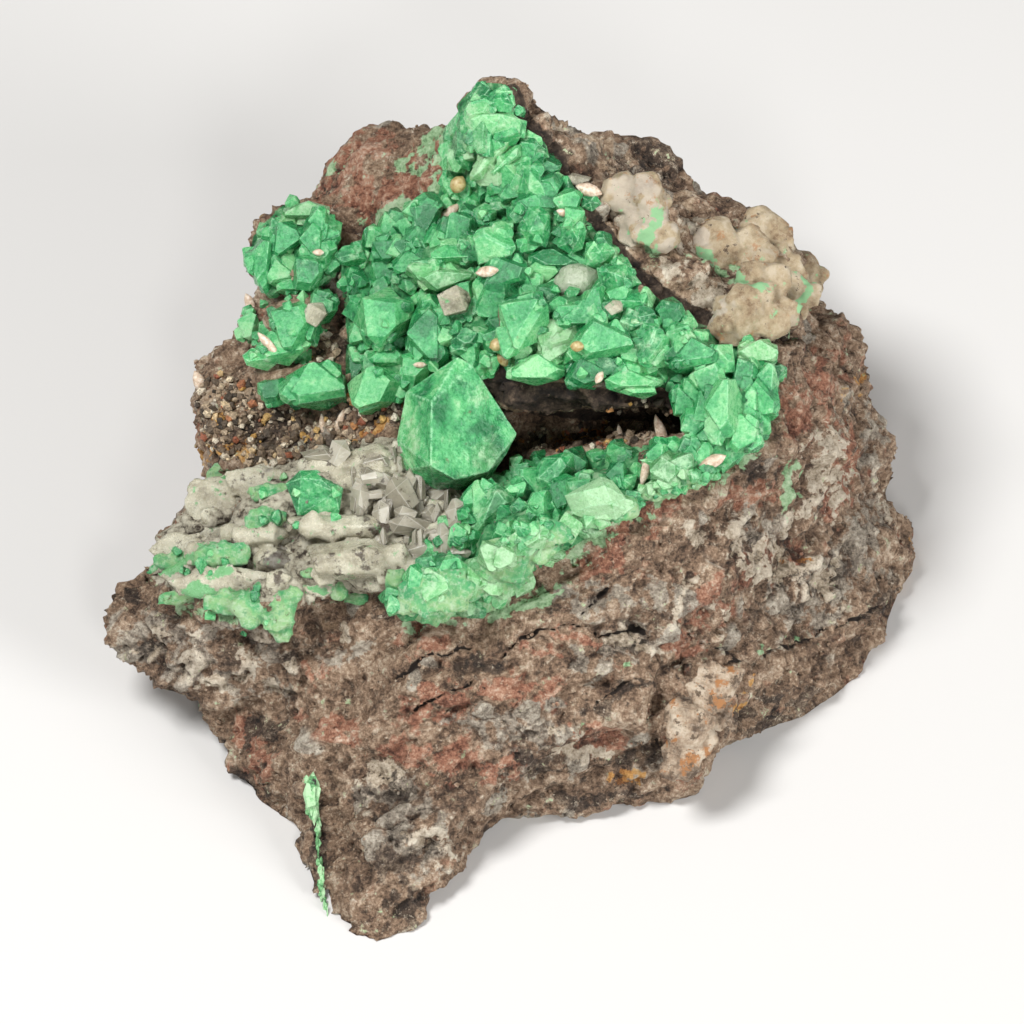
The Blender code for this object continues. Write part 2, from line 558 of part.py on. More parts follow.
def shape_bm(shape, outline, trees, seed, lift, depth):
    """The hull of a shape fitted to its outline. Its middle is lift of its half size before the surface."""
    left, top, right, bottom = outline[:4]
    half = math.sqrt((right - left) * (bottom - top)) / PHOTO_PX_PER_MM / 2
    near = nearness(trees, (left + right) / 2, (top + bottom) / 2) + lift * half
    bm = bmesh.new()
    add_hull(bm, fitted(shape(random.Random(seed)), outline, near, depth))
    return bm


def join(obj, bm):
    """Joins one more closed shape to the object."""
    name = obj.name + "_addition"
    other = add_object(name, mesh_from(bm, name), obj.users_collection[0])
    boolean(obj, other, "UNION")
    bpy.data.objects.remove(other)


def joined(name, pieces, collection):
    """One object from closed shapes that overlap."""
    first = add_object(name, mesh_from(pieces[0], name), collection)
    for bm in pieces[1:]:
        join(first, bm)
    return first


def keep_largest(obj):
    """Drops the crumbs that a cut leaves beside the main body."""
    bm = bmesh.new()
    bm.from_mesh(obj.data)
    left = set(bm.verts)
    bodies = []
    while left:
        body, edge = set(), [left.pop()]
        while edge:
            vert = edge.pop()
            body.add(vert)
            for link in vert.link_edges:
                other = link.other_vert(vert)
                if other in left:
                    left.remove(other)
                    edge.append(other)
        bodies.append(body)
    bodies.sort(key=len)
    for body in bodies[:-1]:
        bmesh.ops.delete(bm, geom=list(body), context="VERTS")
    bm.to_mesh(obj.data)
    bm.free()


def merge_flat(obj):
    """Makes the triangles of each flat face one face again."""
    bm = bmesh.new()
    bm.from_mesh(obj.data)
    bmesh.ops.dissolve_limit(bm, angle_limit=math.radians(FLAT_WITHIN), verts=bm.verts, edges=bm.edges)
    bmesh.ops.triangulate(bm, faces=bm.faces)
    bm.to_mesh(obj.data)
    bm.free()


def finish(obj):
    """Gives the object its own material."""
    colour, roughness = FINISHES[obj.name]
    material = bpy.data.materials.new(obj.name)
    material.use_nodes = True
    shader = material.node_tree.nodes["Principled BSDF"]
    shader.inputs["Base Color"].default_value = (*colour, 1)
    shader.inputs["Roughness"].default_value = roughness
    shader.inputs["Metallic"].default_value = 0
    material.diffuse_color = (*colour, 1)
    obj.data.materials.clear()
    obj.data.materials.append(material)


class Growth:
    """One crust or crystal group that sits in its own seats in what is behind it, clear of it all round."""

    def __init__(self, name, shape, outlines, seats, sink, mound, seed, lift=0.3, depth=1.0):
        self.name, self.shape, self.outlines, self.seats = name, shape, outlines, seats
        self.sink, self.mound, self.seed, self.lift, self.depth = sink, mound, seed, lift, depth

    def cut_seats(self, trees, behind, helpers):
        for number, seat in enumerate(self.seats):
            name = "%s_seat_%d" % (self.name, number)
            mesh = mesh_from(seat_bm(seat, trees, self.sink, 0, FAR_FRONT), name)
            cutter = add_helper(name, mesh, helpers)
            for obj in behind:
                boolean(obj, cutter, "DIFFERENCE")

    def rooms(self, trees):
        """The space over each seat that this growth may fill. Each room has a front of its own."""
        inset = GAP * PHOTO_PX_PER_MM
        return [
            seat_bm(seat, trees, self.sink - GAP, inset, FAR_FRONT + number)
            for number, seat in enumerate(self.seats)
        ]

    def grow(self, behind, collection, helpers):
        trees = surface_of(behind)
        rooms = self.rooms(trees)
        beds = [bed_bm(seat, trees, self.sink, self.mound) for seat in self.seats]
        obj = joined(self.name, beds, collection)
        self.cut_seats(trees, behind, helpers)
        trees = surface_of([obj])
        for number, outline in enumerate(self.outlines):
            seed = self.seed * 1000 + number
            join(obj, shape_bm(self.shape, outline, trees, seed, self.lift, self.depth))
        room = joined(self.name + "_room", rooms, helpers)
        room.hide_render = True
        room.display_type = "WIRE"
        boolean(obj, room, "INTERSECT")
        flat_base(obj, GROUND_GAP, helpers)
        keep_largest(obj)
        merge_flat(obj)
        return obj


class Single:
    """One crystal in the round of the others, which leave it its own shape with a gap round it."""

    def __init__(self, name, corners):
        self.name, self.corners = name, corners

    def grow(self, behind, collection, helpers):
        middle = sum(self.corners, Vector()) / len(self.corners)
        room = [corner + (corner - middle).normalized() * GAP * MM for corner in self.corners]
        bm, room_bm = bmesh.new(), bmesh.new()
        add_hull(bm, self.corners)
        add_hull(room_bm, room)
        cutter = add_helper(self.name + "_room", mesh_from(room_bm, self.name + "_room"), helpers)
        for obj in behind:
            boolean(obj, cutter, "DIFFERENCE")
            keep_largest(obj)
        obj = add_object(self.name, mesh_from(bm, self.name), collection)
        merge_flat(obj)
        return obj


GROWTHS = [
    Growth("pale_crystal_cluster", pale_corners, PALE_CRYSTALS, PALE_SEATS, 0.8, 0.3, seed=2, lift=0.2),
    Growth("crystal_crust", crystal_corners, POCKET_CRYSTALS, POCKET_SEATS, 1.0, 0.25, seed=1, lift=0.45),
    Growth("left_crystal_cluster", crystal_corners, SHOULDER_CRYSTALS, SHOULDER_SEATS, 0.8, 0.3, seed=3),
    Growth("flake_crystals", crystal_corners, FLAKE_CRYSTALS, FLAKE_SEATS, 0.8, 0.2, seed=4),
    Growth("shelf_crystals", crystal_corners, SHELF_CRYSTALS, SHELF_SEATS, 0.8, 0.2, seed=5),
    Growth("plate_crystals", crystal_corners, PLATE_CRYSTALS, PLATE_SEATS, 0.8, 0.2, seed=6),
    Growth("tongue_crust", crystal_corners, TONGUE_CRYSTALS, TONGUE_SEATS, 0.7, 0.2, seed=7),
    Growth("tan_crust", lump_corners, TAN_LUMPS, TAN_SEATS, 0.8, 0.3, seed=8, lift=0.1),
    Growth("white_patch", lump_corners, PATCH_LUMPS, PATCH_SEATS, 0.8, 0.3, seed=9, lift=0.1, depth=0.7),
    Growth("green_vein", plate_corners, VEIN_PLATES, VEIN_SEATS, 0.8, 0.2, seed=10, lift=0.2),
    Single("large_crystal", [seen(*place) for place in LARGE_CRYSTAL]),
    Single("round_pale_crystal", fitted(lump_corners(random.Random(22)), ROUND_CRYSTAL, 13.0)),
]


def main():
    clear_scene()
    scene_root = bpy.context.scene.collection
    collection = bpy.data.collections.new("zincolivenite")
    helpers = bpy.data.collections.new("helpers")
    for child in (collection, helpers):
        scene_root.children.link(child)
    helpers.hide_render = True
    rock = make_matrix(collection, helpers)
    built = [rock]
    for growth in GROWTHS:
        built.append(growth.grow(built, collection, helpers))
    pocket_bm = bmesh.new()
    add_hull(pocket_bm, [seen(*place) for place in GREY_POCKET])
    pocket = add_helper("grey_pocket", mesh_from(pocket_bm, "grey_pocket"), helpers)
    for obj in built[:2]:
        boolean(obj, pocket, "DIFFERENCE")
    flat_base(rock, 0, helpers)
    for obj in built:
        keep_largest(obj)
        finish(obj)


main()
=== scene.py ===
import math
import random

import bmesh
import bpy
import numpy as np
from mathutils import Matrix, Vector, noise
from mathutils.bvhtree import BVHTree


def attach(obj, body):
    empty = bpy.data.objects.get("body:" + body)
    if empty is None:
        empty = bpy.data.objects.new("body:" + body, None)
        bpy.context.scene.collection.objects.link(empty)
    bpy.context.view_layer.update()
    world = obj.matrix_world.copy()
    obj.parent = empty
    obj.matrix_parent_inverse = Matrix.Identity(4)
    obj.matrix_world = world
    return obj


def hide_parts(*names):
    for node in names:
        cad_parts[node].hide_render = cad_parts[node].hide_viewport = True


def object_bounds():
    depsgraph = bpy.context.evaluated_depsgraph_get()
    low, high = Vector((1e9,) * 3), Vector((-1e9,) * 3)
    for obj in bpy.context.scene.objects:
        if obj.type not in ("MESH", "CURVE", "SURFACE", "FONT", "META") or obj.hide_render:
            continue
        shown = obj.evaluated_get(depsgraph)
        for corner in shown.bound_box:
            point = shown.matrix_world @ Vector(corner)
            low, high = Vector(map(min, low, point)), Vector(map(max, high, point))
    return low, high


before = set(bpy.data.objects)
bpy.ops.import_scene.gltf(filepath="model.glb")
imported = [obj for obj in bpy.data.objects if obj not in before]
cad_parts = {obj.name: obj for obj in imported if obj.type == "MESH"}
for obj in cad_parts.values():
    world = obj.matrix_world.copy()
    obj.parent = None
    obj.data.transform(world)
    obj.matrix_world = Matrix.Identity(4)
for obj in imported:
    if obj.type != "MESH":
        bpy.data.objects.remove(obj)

# The looks of a zincolivenite specimen. The rock, its crusts and its crystals are detailed meshes that
# stand for the solids of the frame. Places are read as the viewer sees them, as in the solids' source:
# across and down the view in pixels, and how near the viewer in mm. A patch is a convex list of corners.
# An outline is the left, top, right and bottom of a growth as it is seen, then the turn of its ridge or
# longer side from level and the lean of its top towards the viewer, in degrees. An ellipse is its middle,
# half sizes and turn.

cad_low, cad_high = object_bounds()

MM = 0.001
PHOTO_MIDDLE = 512
PHOTO_PX_PER_MM = 22.0
VIEW_ELEVATION = math.radians(50)
BASE_SHIFT_X = 0.12
BASE_SHIFT_Y = 5.83
FAR_FRONT = 46
INWARD_STEPS = 40
INWARD_SHARE = 0.02
SINE, COSINE = math.sin(VIEW_ELEVATION), math.cos(VIEW_ELEVATION)
# The viewer's axes in the specimen's frame: to the side, up the view and towards the viewer.
SIDE, UP, TOWARDS = Vector((1, 0, 0)), Vector((0, SINE, COSINE)), Vector((0, -COSINE, SINE))

ROCK_VOXEL = 0.15 * MM
ROCK_TRIANGLES = 190000
ROCK_GRAINS = 2600
ROCK_GRAIN_RADIUS = (0.05, 0.14)
BED_VOXEL = 0.35 * MM
BED_SWELL = 0.22 * MM
MASS_VOXEL = 0.11 * MM
CRYSTAL_EDGE = 0.6 * MM
BIG_CRYSTAL_EDGE = 0.13 * MM
OVER_CAD = 0.4 * MM


def seen(across, down, near):
    """Place of a point that the viewer sees, near mm in front of the middle of the view."""
    side = (across - PHOTO_MIDDLE) / PHOTO_PX_PER_MM
    rise = (PHOTO_MIDDLE - down) / PHOTO_PX_PER_MM
    back = rise * SINE - near * COSINE
    up = rise * COSINE + near * SINE
    return Vector((side + BASE_SHIFT_X, back + BASE_SHIFT_Y, up)) * MM


def in_view(points):
    """Where the viewer sees the points, rows of x, y, z in metres: across and down."""
    side = points[:, 0] / MM - BASE_SHIFT_X
    back = points[:, 1] / MM - BASE_SHIFT_Y
    up = points[:, 2] / MM
    rise = back * SINE + up * COSINE
    return PHOTO_MIDDLE + side * PHOTO_PX_PER_MM, PHOTO_MIDDLE - rise * PHOTO_PX_PER_MM


# Meshes.

def settle(obj):
    """Replaces the object's mesh by the result of its modifiers."""
    graph = bpy.context.evaluated_depsgraph_get()
    result = bpy.data.meshes.new_from_object(obj.evaluated_get(graph))
    obj.modifiers.clear()
    obj.data = result


def modify(obj, kind, **settings):
    """Adds a modifier of that kind."""
    modifier = obj.modifiers.new(kind.lower(), kind)
    for name, value in settings.items():
        setattr(modifier, name, value)


def remesh(obj, voxel):
    modify(obj, "REMESH", mode="VOXEL", voxel_size=voxel)
    settle(obj)


def add_object(name, data):
    obj = bpy.data.objects.new(name, data)
    bpy.context.scene.collection.objects.link(obj)
    return obj


def mesh_of(name, bm):
    """The finished mesh of a bmesh, which is freed."""
    mesh = bpy.data.meshes.new(name)
    bm.to_mesh(mesh)
    bm.free()
    return mesh


def dress(obj, material, slot, *nodes):
    """Gives a piece its material and the nodes that it stands for. The slot is not used."""
    obj.data.materials.clear()
    obj.data.materials.append(material)
    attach(obj, "root")
    if nodes:
        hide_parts(*nodes)
    return obj


def read(items, name, width):
    """A row of that width for each of the items, such as each point's place."""
    values = np.empty(len(items) * width)
    items.foreach_get(name, values)
    return values.reshape(-1, width)


def points_of(mesh):
    return read(mesh.vertices, "co", 3)


def normals_of(mesh):
    return read(mesh.vertex_normals, "vector", 3)


def give(mesh, name, values, domain="POINT"):
    """Stores one number for each point or face under a name that a material reads."""
    layer = mesh.attributes.new(name, "FLOAT", domain)
    layer.data.foreach_set("value", np.asarray(values, np.float32))


def put_points(mesh, points):
    mesh.vertices.foreach_set("co", points.ravel())
    mesh.update()


def push_out(mesh, height):
    """Moves each point of the mesh out of the surface by its own height in mm."""
    put_points(mesh, points_of(mesh) + normals_of(mesh) * (height * MM)[:, None])


def add_hull(bm, corners):
    """Adds the hull of the corners as a closed solid."""
    verts = [bm.verts.new(corner) for corner in corners]
    hull = bmesh.ops.convex_hull(bm, input=verts)
    loose = set(hull["geom_interior"] + hull["geom_unused"])
    bmesh.ops.delete(bm, geom=[v for v in loose if isinstance(v, bmesh.types.BMVert)], context="VERTS")


def bevel_edges(bm, width, least_angle):
    """Joins faces that are nearly level with each other and cuts the edges off. Returns the cut faces, and
    the ends that each edge had."""
    bmesh.ops.dissolve_limit(bm, angle_limit=math.radians(least_angle), verts=bm.verts, edges=bm.edges)
    borders = [(edge.verts[0].co.copy(), edge.verts[1].co.copy()) for edge in bm.edges]
    cut = bmesh.ops.bevel(bm, geom=bm.edges[:], offset=width * MM, segments=1, profile=0.5, affect="EDGES",
                          clamp_overlap=True)
    return cut["faces"], borders


def divide(bm, longest, rounds):
    """Divides the faces into triangles and halves the edges that are longer, again and again."""
    bmesh.ops.triangulate(bm, faces=bm.faces)
    for _ in range(rounds):
        long = [edge for edge in bm.edges if edge.calc_length() > longest]
        bmesh.ops.subdivide_edges(bm, edges=long, cuts=1)
        bmesh.ops.triangulate(bm, faces=bm.faces)


# Surfaces as the viewer sees them.

def tree_of(*objects):
    """One search tree of all the surfaces of the objects."""
    graph = bpy.context.evaluated_depsgraph_get()
    points, faces = [], []
    for obj in objects:
        mesh = obj.evaluated_get(graph).data
        first = len(points)
        points += [vert.co.copy() for vert in mesh.vertices]
        faces += [[first + index for index in polygon.vertices] for polygon in mesh.polygons]
    return BVHTree.FromPolygons(points, faces)


def looked_at(tree, across, down):
    """Place and normal of the first surface that the viewer meets there, or None."""
    place, normal, _, _ = tree.ray_cast(seen(across, down, FAR_FRONT), -TOWARDS)
    return (place, normal) if place else None


def nearness(tree, across, down):
    """How near the viewer the surface is there, in mm from the middle of the view, or None."""
    hit = looked_at(tree, across, down)
    return (hit[0] - seen(across, down, 0)).dot(TOWARDS) / MM if hit else None


def nearness_inward(tree, across, down):
    """The same, or beside the rock that of the first place met on the way to the middle of the view."""
    x, y = across, down
    for _ in range(INWARD_STEPS):
        near = nearness(tree, x, y)
        if near is not None:
            return near
        x += (PHOTO_MIDDLE - x) * INWARD_SHARE
        y += (PHOTO_MIDDLE - y) * INWARD_SHARE
    return 0.0


def open_to_view(tree, points):
    """Whether nothing of the surface lies between each point and the viewer."""
    start = TOWARDS * 0.5 * MM
    return np.array([tree.ray_cast(Vector(point) + start, TOWARDS)[0] is None for point in points])


# Noise and shares, 0 to 1, of points.

def smoothstep(low, high, value):
    part = np.clip((value - low) / (high - low), 0, 1)
    return part * part * (3 - 2 * part)


def fractal_at(points, size, seed, octaves=4):
    """Fractal noise, about -1 to 1, whose lumps are size mm wide."""
    offset = Vector((seed * 1.7, -seed * 2.3, seed * 0.9))
    scale = 1 / (size * MM)
    return np.array([noise.fractal(Vector(p) * scale + offset, 0.8, 2.0, octaves) for p in points])


def stretched(points, turn, stretch):
    """The points squeezed along one direction of the view, turn degrees from level, so that noise runs on."""
    way = np.array(SIDE) * math.cos(math.radians(turn)) + np.array(UP) * math.sin(math.radians(turn))
    return points - np.outer(points @ way, way) * (1 - 1 / stretch)


def terraced(value, steps):
    """Turns a slope of values into flat steps with steep risers."""
    scaled = value * steps
    below = np.floor(scaled)
    return (below + smoothstep(0.55, 1.0, scaled - below)) / steps


def cells_at(points, size, seed):
    """The lumps of a cobbled ground size mm apart: how far each point is inside its lump, 0 to 1, and a
    number from 0 to 1 that all points of one lump share."""
    offset = Vector((seed * 0.6, seed * 1.3, seed * 2.1))
    scale = 1 / (size * MM)
    depth, share = np.empty(len(points)), np.empty(len(points))
    for number, point in enumerate(points):
        distances, centres = noise.voronoi(Vector(point) * scale + offset)
        depth[number] = distances[1] - distances[0]
        share[number] = noise.cell(centres[0] * 7.3)
    return np.clip(depth, 0, 1), share


def ellipses(across, down, places):
    """1 inside the ellipses and falling to 0 outside."""
    most = np.zeros(len(across))
    for cx, cy, rx, ry, turn in places:
        cosine, sine = math.cos(math.radians(turn)), math.sin(math.radians(turn))
        x = (across - cx) * cosine - (down - cy) * sine
        y = (across - cx) * sine + (down - cy) * cosine
        most = np.maximum(most, 1 - smoothstep(0.5, 1.3, np.hypot(x / rx, y / ry)))
    return most


def line_distance(across, down, path):
    """Distance in px to a line through the path's points."""
    least = np.full(len(across), 1e9)
    for (x0, y0), (x1, y1) in zip(path, path[1:]):
        dx, dy = x1 - x0, y1 - y0
        along = np.clip(((across - x0) * dx + (down - y0) * dy) / (dx * dx + dy * dy), 0, 1)
        least = np.minimum(least, np.hypot(across - x0 - along * dx, down - y0 - along * dy))
    return least


def inside(across, down, patch):
    """How far inside a patch a point lies, in px."""
    middle = np.mean(patch, axis=0)
    least = np.full(len(across), 1e9)
    for (x0, y0), (x1, y1) in zip(patch, patch[1:] + patch[:1]):
        nx, ny = y1 - y0, x0 - x1
        length = math.hypot(nx, ny)
        side = math.copysign(1 / length, (middle[0] - x0) * nx + (middle[1] - y0) * ny)
        least = np.minimum(least, ((across - x0) * nx + (down - y0) * ny) * side)
    return least


def in_patches(x, y, patches):
    where = np.array([x]), np.array([y])
    return max(inside(*where, patch)[0] for patch in patches)


def random_place(rng, patches, margin=0.0):
    """A place inside one of the patches, at least margin px from its edge."""
    every_x = [x for patch in patches for x, _ in patch]
    every_y = [y for patch in patches for _, y in patch]
    while True:
        x, y = rng.uniform(min(every_x), max(every_x)), rng.uniform(min(every_y), max(every_y))
        if in_patches(x, y, patches) > margin:
            return x, y


# Where the growths cover the ground.
POCKET_PATCHES = [
    [(454, 104), (478, 80), (506, 82), (546, 146), (590, 218), (560, 240), (450, 236), (436, 196),
     (444, 146)],
    [(336, 250), (372, 228), (414, 196), (470, 186), (500, 188), (500, 374), (440, 396), (352, 408)],
    [(500, 188), (540, 192), (592, 222), (640, 284), (640, 386), (500, 374)],
    [(640, 284), (692, 318), (692, 396), (640, 386)],
    [(692, 320), (770, 344), (782, 366), (780, 398), (692, 402)],
    [(690, 345), (765, 342), (781, 372), (778, 400), (758, 452), (712, 470), (684, 452), (682, 400)],
    [(640, 444), (700, 436), (756, 440), (700, 484), (640, 506)],
    [(476, 482), (530, 456), (640, 444), (640, 506), (530, 576)],
    [(440, 505), (476, 482), (530, 456), (530, 586), (476, 616), (400, 624), (384, 596), (384, 568)],
]
SHOULDER_PATCHES = [
    [(244, 262), (250, 234), (284, 198), (330, 212), (342, 240), (336, 268), (322, 294), (272, 296)],
]
FLAKE_PATCHES = [[(236, 314), (262, 300), (330, 288), (340, 306), (322, 356), (300, 368), (248, 364)]]
SHELF_PATCHES = [[(256, 376), (286, 360), (346, 364), (352, 404), (310, 412), (262, 406)]]
PLATE_PATCHES = [[(256, 480), (300, 468), (348, 478), (348, 518), (284, 544), (240, 542), (240, 504)]]
TONGUE_PATCHES = [
    [(152, 550), (240, 536), (260, 570), (305, 590), (304, 632), (270, 645), (196, 620), (156, 590)],
]
PALE_PATCHES = [
    [(194, 502), (240, 476), (300, 442), (404, 438), (432, 446), (464, 500), (464, 572), (400, 590),
     (290, 598), (186, 598), (146, 570), (150, 542)],
]
GLASSY_PATCHES = [
    [(346, 470), (404, 438), (434, 446), (466, 500), (464, 574), (430, 576), (384, 546), (352, 512)],
]
GREEN_GROUND = POCKET_PATCHES + SHOULDER_PATCHES

# The rock.
BEDDED_NODES = [
    "crystal_crust", "left_crystal_cluster", "flake_crystals", "shelf_crystals", "plate_crystals",
    "tongue_crust", "pale_crystal_cluster", "tan_crust", "white_patch", "green_vein",
]
CRACKS = [
    [(503, 654), (522, 640), (541, 630), (560, 627), (599, 634), (626, 636), (652, 640)],
    [(592, 710), (606, 700), (617, 692), (632, 679)], [(413, 710), (429, 702), (447, 692), (470, 684)],
    [(688, 640), (709, 650), (735, 660), (760, 662), (800, 648), (840, 628), (874, 609)],
    [(400, 672), (440, 650), (470, 648)], [(578, 620), (596, 606), (612, 590)],
]
# The broken edge where the pocket's upper right side steps up to the tan crust. A band of painted
# shade runs along it.
STEP_EDGE = [
    (512, 90), (524, 116), (540, 134), (556, 152), (566, 178), (580, 202), (594, 216), (606, 231),
    (620, 250), (640, 274), (656, 288), (672, 302), (690, 311), (712, 320), (738, 332),
]
STEP_WIDTH = 12
# The lower edge of the lip over the cave, where a dark band of painted shade is laid.
LIP_EDGE = [(484, 376), (506, 388), (540, 398), (590, 403), (640, 405), (678, 408)]
# Where the rock is cobbled with pale plaques.
COBBLED = [
    (190, 650, 100, 44, 8), (300, 640, 50, 40, 0), (640, 640, 90, 50, 10), (800, 580, 70, 80, -20),
    (600, 750, 90, 30, -5), (400, 800, 60, 60, 0), (500, 720, 60, 30, 0), (740, 540, 50, 40, 0),
]
# Where the viewer sees each kind of rock.
ROCK_ZONES = {
    "red": [
        (350, 162, 46, 38, 30), (392, 185, 62, 42, 0), (430, 165, 30, 26, 0), (330, 196, 26, 16, 0),
        (706, 602, 40, 28, 0), (640, 526, 52, 20, 30), (600, 562, 34, 18, 35), (560, 642, 40, 12, 0),
        (520, 692, 64, 20, 0), (440, 706, 60, 22, 10), (430, 756, 62, 24, 0), (330, 722, 40, 18, 0),
        (252, 752, 24, 40, 10), (600, 738, 40, 16, 0), (690, 642, 46, 12, -10), (420, 640, 34, 12, 0),
        (812, 390, 24, 60, -30), (838, 470, 22, 60, -10), (770, 560, 40, 24, 20), (740, 500, 40, 16, 25),
        (500, 770, 40, 12, 10), (700, 380, 10, 20, 0), (320, 672, 20, 10, 0), (560, 394, 30, 6, 0),
    ],
    "grey": [
        (140, 640, 26, 22, -30), (186, 634, 36, 22, -10), (206, 672, 44, 16, -10), (262, 690, 34, 12, 0),
        (270, 650, 40, 16, 10), (612, 602, 50, 16, 15), (640, 640, 44, 16, -5), (600, 660, 34, 12, 10),
        (806, 600, 44, 38, 0), (858, 552, 26, 60, -25), (560, 762, 56, 14, 10), (560, 592, 34, 10, 20),
        (764, 530, 36, 26, 0), (420, 842, 40, 34, 30), (390, 800, 40, 20, 0), (520, 730, 40, 14, 0),
        (340, 650, 26, 12, 0), (872, 450, 12, 50, -5), (660, 590, 30, 14, 0), (470, 720, 30, 10, 0),
    ],
    "pale": [
        (380, 776, 28, 14, -10), (432, 842, 24, 20, 0), (616, 640, 26, 10, 0), (560, 736, 16, 10, 0),
        (590, 746, 36, 9, -8), (681, 603, 8, 20, -12), (728, 622, 14, 9, 0), (828, 575, 12, 24, -30),
        (700, 530, 14, 10, 0), (740, 548, 12, 14, 20), (800, 520, 9, 22, -25), (846, 610, 12, 9, 0),
        (160, 636, 12, 8, 0), (192, 632, 12, 9, 0), (244, 660, 12, 14, 0), (270, 686, 16, 6, 0),
        (210, 686, 26, 9, -6), (130, 634, 6, 12, 30), (690, 574, 12, 8, 0), (650, 650, 12, 7, 0),
        (884, 510, 8, 14, 0), (872, 470, 6, 18, -10), (344, 630, 12, 10, 0), (300, 600, 12, 8, 0),
        (640, 218, 22, 26, -40), (672, 262, 30, 14, -45), (706, 296, 30, 14, -30), (556, 124, 24, 5, -45),
        (632, 200, 34, 26, 0), (690, 226, 24, 14, -40), (760, 560, 50, 30, -30), (826, 470, 24, 60, -10),
    ],
    "dark": [
        # Most dark parts are the rock's own colour; those at (482, 380), (545, 148), (600, 236) and (690,
        # 310) lie along the lip and the step edge and are painted shade.
        (656, 158, 60, 28, 35), (482, 380, 18, 16, -50), (336, 332, 16, 34, 0), (250, 432, 62, 26, 0),
        (774, 714, 58, 22, 14), (482, 664, 28, 13, 0), (530, 762, 44, 12, 0), (612, 700, 50, 10, 22),
        (400, 880, 26, 54, 20), (242, 786, 24, 24, 0), (322, 850, 12, 60, 0), (600, 796, 70, 9, 0),
        (382, 506, 22, 20, 0), (130, 600, 30, 12, -20), (150, 690, 44, 9, -25), (384, 410, 26, 14, 20),
        (386, 606, 24, 9, 0), (690, 420, 14, 14, 0), (230, 556, 14, 8, 0), (280, 556, 26, 14, 0),
        (300, 860, 6, 40, 0), (650, 760, 40, 12, 0), (700, 690, 36, 8, 20), (590, 712, 20, 8, 0),
        (300, 650, 16, 8, 0), (545, 148, 26, 12, -50), (600, 236, 40, 9, -52), (690, 310, 40, 7, -30),
        (790, 330, 16, 10, 0), (880, 600, 16, 20, 0), (756, 470, 16, 20, 0), (270, 730, 30, 10, 0),
    ],
    "tan": [
        # The tan part at (590, 430), on the wall of the cave, is partly the rock's own colour and partly
        # painted light that lifts the shaded wall.
        (604, 146, 34, 14, -20), (640, 226, 60, 40, -40), (590, 430, 90, 14, 0), (690, 265, 50, 40, -30),
        (560, 116, 40, 16, -35), (762, 320, 40, 20, -30), (700, 200, 20, 20, 0), (590, 190, 24, 12, 0),
        (290, 600, 12, 9, 0), (310, 586, 16, 6, 0), (220, 390, 34, 16, 20), (790, 250, 34, 30, 0),
        (320, 620, 14, 9, 0), (280, 345, 24, 14, 0),
    ],
    "mint": [
        (440, 140, 24, 16, 30), (415, 166, 28, 16, 20), (392, 216, 40, 12, 10), (650, 238, 10, 30, 8),
        (706, 262, 26, 12, -20), (744, 282, 24, 10, -25), (803, 288, 8, 32, 0), (791, 486, 10, 30, 0),
        (626, 672, 7, 5, 0), (772, 640, 14, 7, 0), (590, 540, 44, 9, 32), (520, 598, 60, 10, 18),
        (646, 506, 44, 8, 30), (724, 472, 44, 7, 22), (430, 622, 46, 7, 4), (190, 562, 54, 13, 0),
        (230, 602, 60, 14, 0), (340, 590, 40, 8, 0), (682, 322, 20, 8, -30), (330, 160, 14, 8, 0),
        (804, 640, 6, 9, 0), (560, 194, 24, 16, -40), (430, 196, 20, 10, 30), (214, 478, 14, 9, 0),
    ],
    "rust": [
        (858, 382, 13, 11, 0), (628, 779, 11, 5, 0), (738, 700, 5, 26, -35), (700, 738, 5, 24, -25),
        (590, 436, 34, 9, 0), (240, 458, 50, 9, 0), (376, 420, 20, 8, 30), (548, 166, 10, 8, 0),
        (350, 396, 14, 10, 0), (792, 560, 10, 8, 0), (216, 420, 14, 12, 0), (750, 400, 6, 12, 0),
    ],
}
# The level that a broad noise has to pass for each kind to show on the hidden sides.
HIDDEN_LEVELS = {"red": 0.12, "grey": 0.28, "pale": 0.5, "dark": 0.2, "tan": 0.45, "mint": 0.75, "rust": 0.62}


def swollen_bed(node):
    """The mass under a growth: its solid, smoothed until the crystals are gone and grown into the rock."""
    bed = add_object("bed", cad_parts[node].data.copy())
    remesh(bed, BED_VOXEL)
    modify(bed, "SMOOTH", factor=0.5, iterations=8)
    modify(bed, "DISPLACE", strength=BED_SWELL, mid_level=0)
    settle(bed)
    return bed


def rock_base():
    """The rock with the seats of its growths filled, as one even mesh."""
    bm = bmesh.new()
    bm.from_mesh(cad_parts["matrix"].data)
    for node in BEDDED_NODES:
        bed = swollen_bed(node)
        bm.from_mesh(bed.data)
        bpy.data.objects.remove(bed)
    rock = add_object("rock", mesh_of("rock", bm))
    remesh(rock, ROCK_VOXEL)
    return rock


def crack_share(points, across, down):
    """1 in the bottom of the cracks, falling to 0 beside them. They wander and change their width."""
    wander = 9.0 * fractal_at(points, 1.0, 6, 5)
    width = 2.6 + 3.4 * fractal_at(points, 1.1, 32, 3)
    least = np.full(len(points), 1e9)
    for path in CRACKS:
        least = np.minimum(least, line_distance(across + wander, down - wander, path))
    return 1 - smoothstep(0.2, 1.0, least / np.maximum(width, 0.6))


